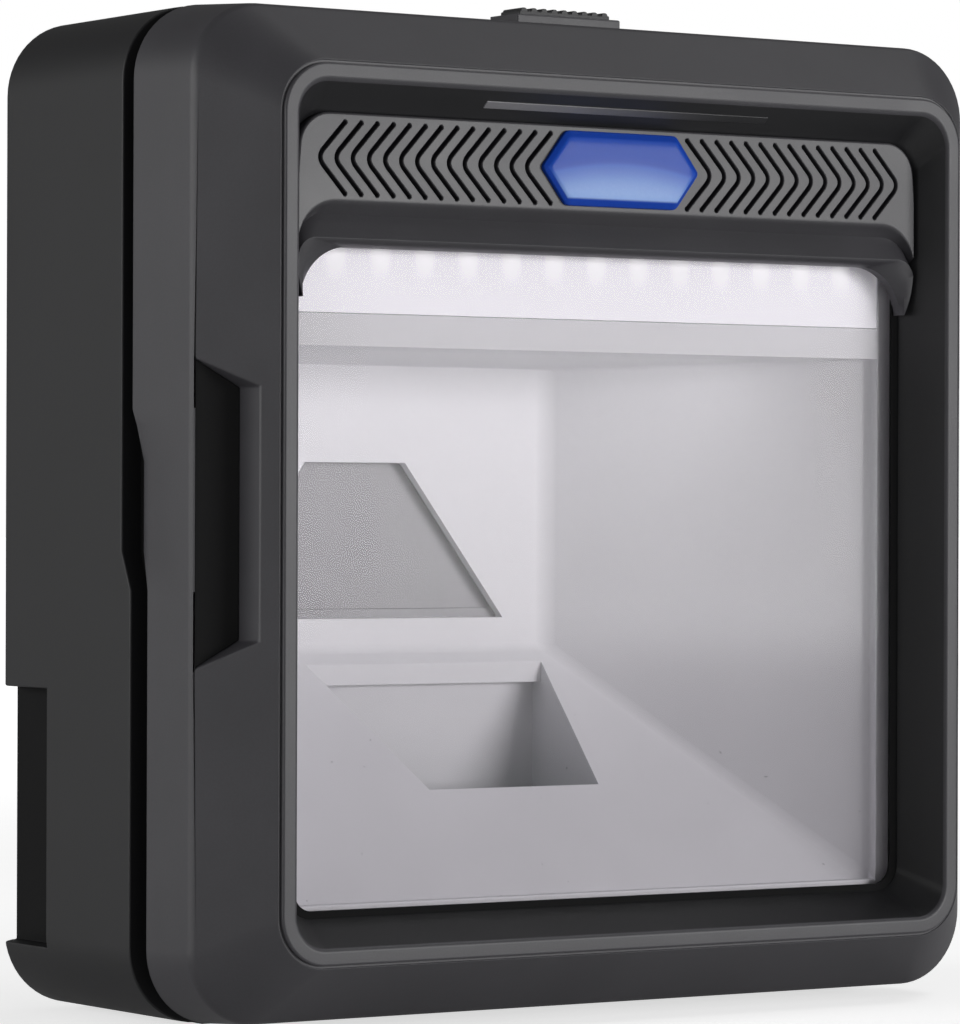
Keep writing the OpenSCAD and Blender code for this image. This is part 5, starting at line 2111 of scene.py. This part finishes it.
@dataclass
class PushButton(Assembly):
    """Collar and ribbed cap on the top."""

    half: float = 8.55
    d: Point2 = (19.6, 24.8)
    z: Point2 = (75.6, 78.2)
    stem: Box = ((-4.0, 4.0), (20.7, 23.7), (71.6, 76.2))
    clips: Box = ((-5.5, 5.5), (20.7, 23.7), (71.6, 72.4))
    rib_count: int = 9
    rib_share: float = 0.27
    rib_h: float = 0.4
    rib_foot: float = 0.1
    rib_root: float = 0.2
    rib_end: float = 0.12
    rib_end_drop: float = 0.3

    def rib(self, pitch: float) -> Piece:
        """One rounded rib about the origin.

        Args:
            pitch: Distance from rib to rib.

        Returns:
            The rib.
        """
        half = pitch * self.rib_share
        right = [(half * 0.4, self.rib_h), (half * 0.8, self.rib_h * 0.8), (half, 0.0),
                 (half + self.rib_foot, -self.rib_root)]
        profile = [(-x, z) for x, z in reversed(right)] + right
        reach = (self.d[1] - self.d[0]) / 2
        ends = ((-reach, self.rib_end_drop), (self.rib_end - reach, 0.0), (reach - self.rib_end, 0.0),
                (reach, self.rib_end_drop))
        rows = [[Vector((x * MM, y * MM, (z - max(0.0, z) * drop) * MM)) for x, z in profile]
                for y, drop in ends]
        return solid_over("rib", rows)

    def cap(self) -> Piece:
        """Cap with its stem and ribs.

        Returns:
            The cap.
        """
        top = self.z[1] - self.rib_h
        body = block("button_top", (-self.half, self.half), self.d, (self.z[0], top))
        combine(body, [block("stem", *self.stem), block("clips", *self.clips)], "UNION")
        tidy(body)
        bevel(body, sharper(1.0), 0.25, 3)
        pitch = 2 * self.half / self.rib_count
        middle = (self.d[0] + self.d[1]) / 2
        mesh = bpy.data.meshes.new("cap_ribs")
        mesh.from_pydata([place((i - (self.rib_count - 1) / 2) * pitch, middle, top)
                          for i in range(self.rib_count)], [], [])
        ribs = link("cap_ribs", mesh)
        rib = self.rib(pitch)
        grow(ribs, scatter_tree(rib), {"Finish": self.looks[Look.BUTTON]}, rib)
        with editing(body.data) as bm:
            bm.from_mesh(ribs.data)
        bpy.data.objects.remove(ribs)
        smooth(body, 40.0)
        return body

    def build(self) -> list[Piece]:
        """Build and dress the collar and the cap.

        Returns:
            The collar and the cap.
        """
        collar = copy_node(self.frame, "button_collar", "button_ring")
        bevel(collar, sharper(1.0), 0.3, 3)
        smooth(collar, 40.0)
        self.dress(collar, Look.FRONT, "shell_front", "button_collar")
        cap = self.dress(self.cap(), Look.BUTTON, "button_black", "button_cap", body=Body.BUTTON)
        return [collar, cap]


# Small pieces


@dataclass
class CoverScrews(Assembly):
    """Screws of the bay's cover, with cross recesses in their heads."""

    arm: float = 1.15
    arm_w: float = 0.3
    deep: float = 0.9
    over: float = 0.5

    def build(self) -> list[Piece]:
        """Build and dress the screws.

        Returns:
            The screws.
        """
        piece = copy_node(self.frame, "cover_screws", "cover_fixings")
        face = max(spot_of(vert.co)[1] for vert in piece.data.vertices)
        for side in SIDES:
            x = side * COVER_SCREW_X
            for across, up in ((self.arm, self.arm_w), (self.arm_w, self.arm)):
                tool = block("recess", (x - across, x + across), (face - self.deep, face + self.over),
                             (COVER_SCREW_Z - up, COVER_SCREW_Z + up))
                combine(piece, [tool], "DIFFERENCE")
        tidy(piece, flat=0.0)
        bevel(piece, sharper(0.6), 0.08, 2)
        smooth(piece, 35.0)
        return [self.dress(piece, Look.STEEL, "screw_steel", "cover_screws")]


@dataclass(frozen=True)
class SoftNode:
    """A node whose own shape is kept, with its edges softened."""

    node: str
    name: str
    slot: str
    look: Look
    width: float = 0.25


@dataclass
class SoftNodes(Assembly):
    """Softened copies of the nodes that need no other change."""

    nodes: tuple[SoftNode, ...] = (
        SoftNode("cable_cover", "bay_cover", "cover_black", Look.COVER),
        SoftNode("foot_front_left", "front_foot_left", "foot_rubber", Look.RUBBER, 0.3),
        SoftNode("foot_front_right", "front_foot_right", "foot_rubber", Look.RUBBER, 0.3),
        SoftNode("foot_rear_left", "rear_foot_left", "foot_rubber", Look.RUBBER, 0.3),
        SoftNode("foot_rear_right", "rear_foot_right", "foot_rubber", Look.RUBBER, 0.3),
        SoftNode("host_port", "port_shell", "port_metal", Look.PORT, 0.2),
        SoftNode("camera_shroud", "camera_tunnel", "chamber_white", Look.CHAMBER, 0.3),
        SoftNode("status_light_bar", "light_guide_bar", "light_bar", Look.LIGHT_BAR, 0.12),
        SoftNode("speaker", "speaker_box", "speaker_black", Look.SPEAKER, 0.3),
        SoftNode("board_chips", "chips", "chip_black", Look.CHIP, 0.1),
        SoftNode("aimer_lens", "aimer_dome", "aimer_clear", Look.LENS, 0.2),
        SoftNode("button_switch", "switch_case", "switch_metal", Look.SWITCH, 0.15),
        SoftNode("mount_inserts", "threaded_inserts", "insert_brass", Look.BRASS, 0.2),
    )

    def build(self) -> list[Piece]:
        """Build and dress the softened copies.

        Returns:
            The copies.
        """
        pieces = []
        for soft in self.nodes:
            piece = copy_node(self.frame, soft.node, soft.name)
            bevel(piece, sharper(0.6), soft.width, 2)
            smooth(piece, 35.0)
            pieces.append(self.dress(piece, soft.look, soft.slot, soft.node))
        return pieces


KEPT_LOOKS = {
    "parting_seal": Look.BAND,
    "window_gasket": Look.GASKET,
    "diffuser_strip": Look.DIFFUSER,
    "lamp_board": Look.BOARD,
    "camera_board": Look.BOARD,
    "aimer_board": Look.BOARD,
    "main_board": Look.BOARD,
    "switch_board": Look.BOARD,
    "lamps": Look.LAMP,
    "lens_barrel": Look.BARREL,
    "lens": Look.LENS,
    "image_sensor": Look.CHIP,
    "board_screws": Look.STEEL,
    "housing_screws": Look.STEEL,
}


@dataclass
class KeptNodes(Assembly):
    """The nodes that stay as they are."""

    def build(self) -> list[Piece]:
        """Give the nodes their materials.

        Returns:
            The nodes' objects.
        """
        pieces = []
        for node, look in KEPT_LOOKS.items():
            piece = self.frame["nodes"][node]
            if not piece.material_slots:
                piece.data.materials.append(self.looks[look])
            for slot in piece.material_slots:
                slot.link = "OBJECT"
                slot.material = self.looks[look]
            pieces.append(piece)
        return pieces


# Studio


@dataclass(frozen=True)
class Lamp:
    """Area lamp, in metres and watts, that looks at the middle of the scanner or along its own aim."""

    name: str
    spot: Point3
    size: Point2
    power: float
    aim: Point3 | None = None

    def make(self) -> None:
        """Create the lamp, which the camera doesn't see."""
        data = bpy.data.lights.new(self.name, "AREA")
        data.shape = "RECTANGLE"
        data.size, data.size_y = self.size
        data.energy = self.power
        aim = Vector(self.aim) if self.aim else Vector((0.0, 0.0, MID_Z * MM)) - Vector(self.spot)
        lamp = link(self.name, data)
        lamp.location = self.spot
        lamp.rotation_euler = aim.to_track_quat("-Z", "Y").to_euler()
        lamp.visible_camera = False


@dataclass
class Studio:
    """Camera, soft lamps, white floor and world. The last lamp stands for the scanner's own."""

    focal: float = 176.85
    sensor: float = 36.0
    clip: Point2 = (0.01, 50.0)
    eye: Point3 = (-0.4466, -0.6535, 0.0772)
    yaw: float = 34.0
    roll: float = 0.201
    floor_half: float = 12.0
    floor_z: float = -0.0001
    floor_colour: str = "#ececec"
    floor_near: float = 0.66
    floor_fade: Point2 = (0.3, 1.1)
    floor_gloss: float = 0.15
    world_level: float = 0.13
    lamps: tuple[Lamp, ...] = (
        Lamp("key_lamp", (0.80, -1.40, 0.22), (0.9, 0.42), 12.5),
        Lamp("side_lamp", (-1.42, 0.62, 0.2), (1.1, 1.0), 9.5),
        Lamp("edge_lamp", (-1.5, -0.02, 0.15), (0.35, 0.9), 3.0),
        Lamp("fill_lamp", (-1.2, -0.9, 0.2), (1.0, 1.0), 0.8),
        Lamp("top_lamp", (0.75, -0.2, 1.4), (0.6, 0.5), 2.6),
        Lamp("strip_glow", (-0.004, -0.0185, 0.0985), (0.075, 0.006), 0.0020, (0.0, 1.0, -0.9)),
    )

    def camera(self) -> None:
        """Create the camera at the photograph's viewing angle."""
        data = bpy.data.cameras.new("camera")
        data.sensor_fit = "VERTICAL"
        data.sensor_height = self.sensor
        data.sensor_width = self.sensor
        data.lens = self.focal
        data.clip_start, data.clip_end = self.clip
        lens = link("camera", data)
        yaw, roll = math.radians(self.yaw), math.radians(self.roll)
        ahead = Vector((math.sin(yaw), math.cos(yaw), 0.0))
        level = Vector((math.cos(yaw), -math.sin(yaw), 0.0))
        right = level * math.cos(roll) + Vector((0, 0, 1)) * math.sin(roll)
        up = right.cross(ahead)
        matrix = lens.matrix_world.copy()
        for i in range(3):
            for j, axis in enumerate((right, up, -ahead, self.eye)):
                matrix[i][j] = axis[i]
        lens.matrix_world = matrix
        bpy.context.scene.camera = lens

    def floor(self) -> None:
        """Create the floor, which shows white to the camera and in gloss, and keeps the shadow."""
        half, low = self.floor_half, self.floor_z
        mesh = bpy.data.meshes.new("floor")
        mesh.from_pydata([(-half, -half, low), (half, -half, low), (half, half, low), (-half, half, low)],
                         [], [(0, 1, 2, 3)])
        floor = link("floor", mesh)
        material = bpy.data.materials.new("floor_white")
        tree = Tree(material)
        plain = tree.node("ShaderNodeBsdfDiffuse", {}, {"Color": linear(self.floor_colour)})
        reach = tree.node("ShaderNodeVectorMath", {"operation": "LENGTH"}, {0: tree.spot()}, "Value")
        near = (self.floor_near, self.floor_near, self.floor_near, 1.0)
        white = tree.colours(near, linear(WHITE), reach.step(*self.floor_fade))
        level = tree.seen_by("Camera") + tree.seen_by("Glossy") * self.floor_gloss
        level = level + tree.seen_by("Transmission")
        glow = tree.node("ShaderNodeEmission", {}, {"Color": white, "Strength": level})
        tree.end(tree.node("ShaderNodeAddShader", {}, {0: plain, 1: glow}))
        mesh.materials.append(material)

    def world(self) -> None:
        """Create the world, white to the camera and dim for the rest."""
        world = bpy.data.worlds.new("studio")
        bpy.context.scene.world = world
        tree = Tree(world)
        seen = tree.seen_by("Camera") + tree.seen_by("Transmission")
        level = seen * (1 - self.world_level) + self.world_level
        glow = tree.node("ShaderNodeBackground", {}, {"Color": linear(WHITE), "Strength": level})
        tree.end(glow, "ShaderNodeOutputWorld")

    def build(self) -> None:
        """Set up the whole studio."""
        self.camera()
        for lamp in self.lamps:
            lamp.make()
        self.floor()
        self.world()
        bpy.context.scene.view_settings.view_transform = "Standard"


ASSEMBLIES = (FrontFrame, RearShell, Brow, Badge, Window, LightChamber, CameraFilter, ChamberRim,
              AimerTunnel, PocketPads, PushButton, CoverScrews, SoftNodes, KeptNodes)


def main() -> None:
    """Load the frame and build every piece."""
    logging.basicConfig(level=logging.INFO, format="%(name)s: %(message)s")
    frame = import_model()
    Studio().build()
    LOG.info("studio ready")
    looks = {look: look.value.make() for look in Look}
    for assembly in ASSEMBLIES:
        for piece in assembly(looks, frame).build():
            LOG.info("%s: %d faces", piece.name, len(piece.data.polygons))


if __name__ == "__main__":
    main()
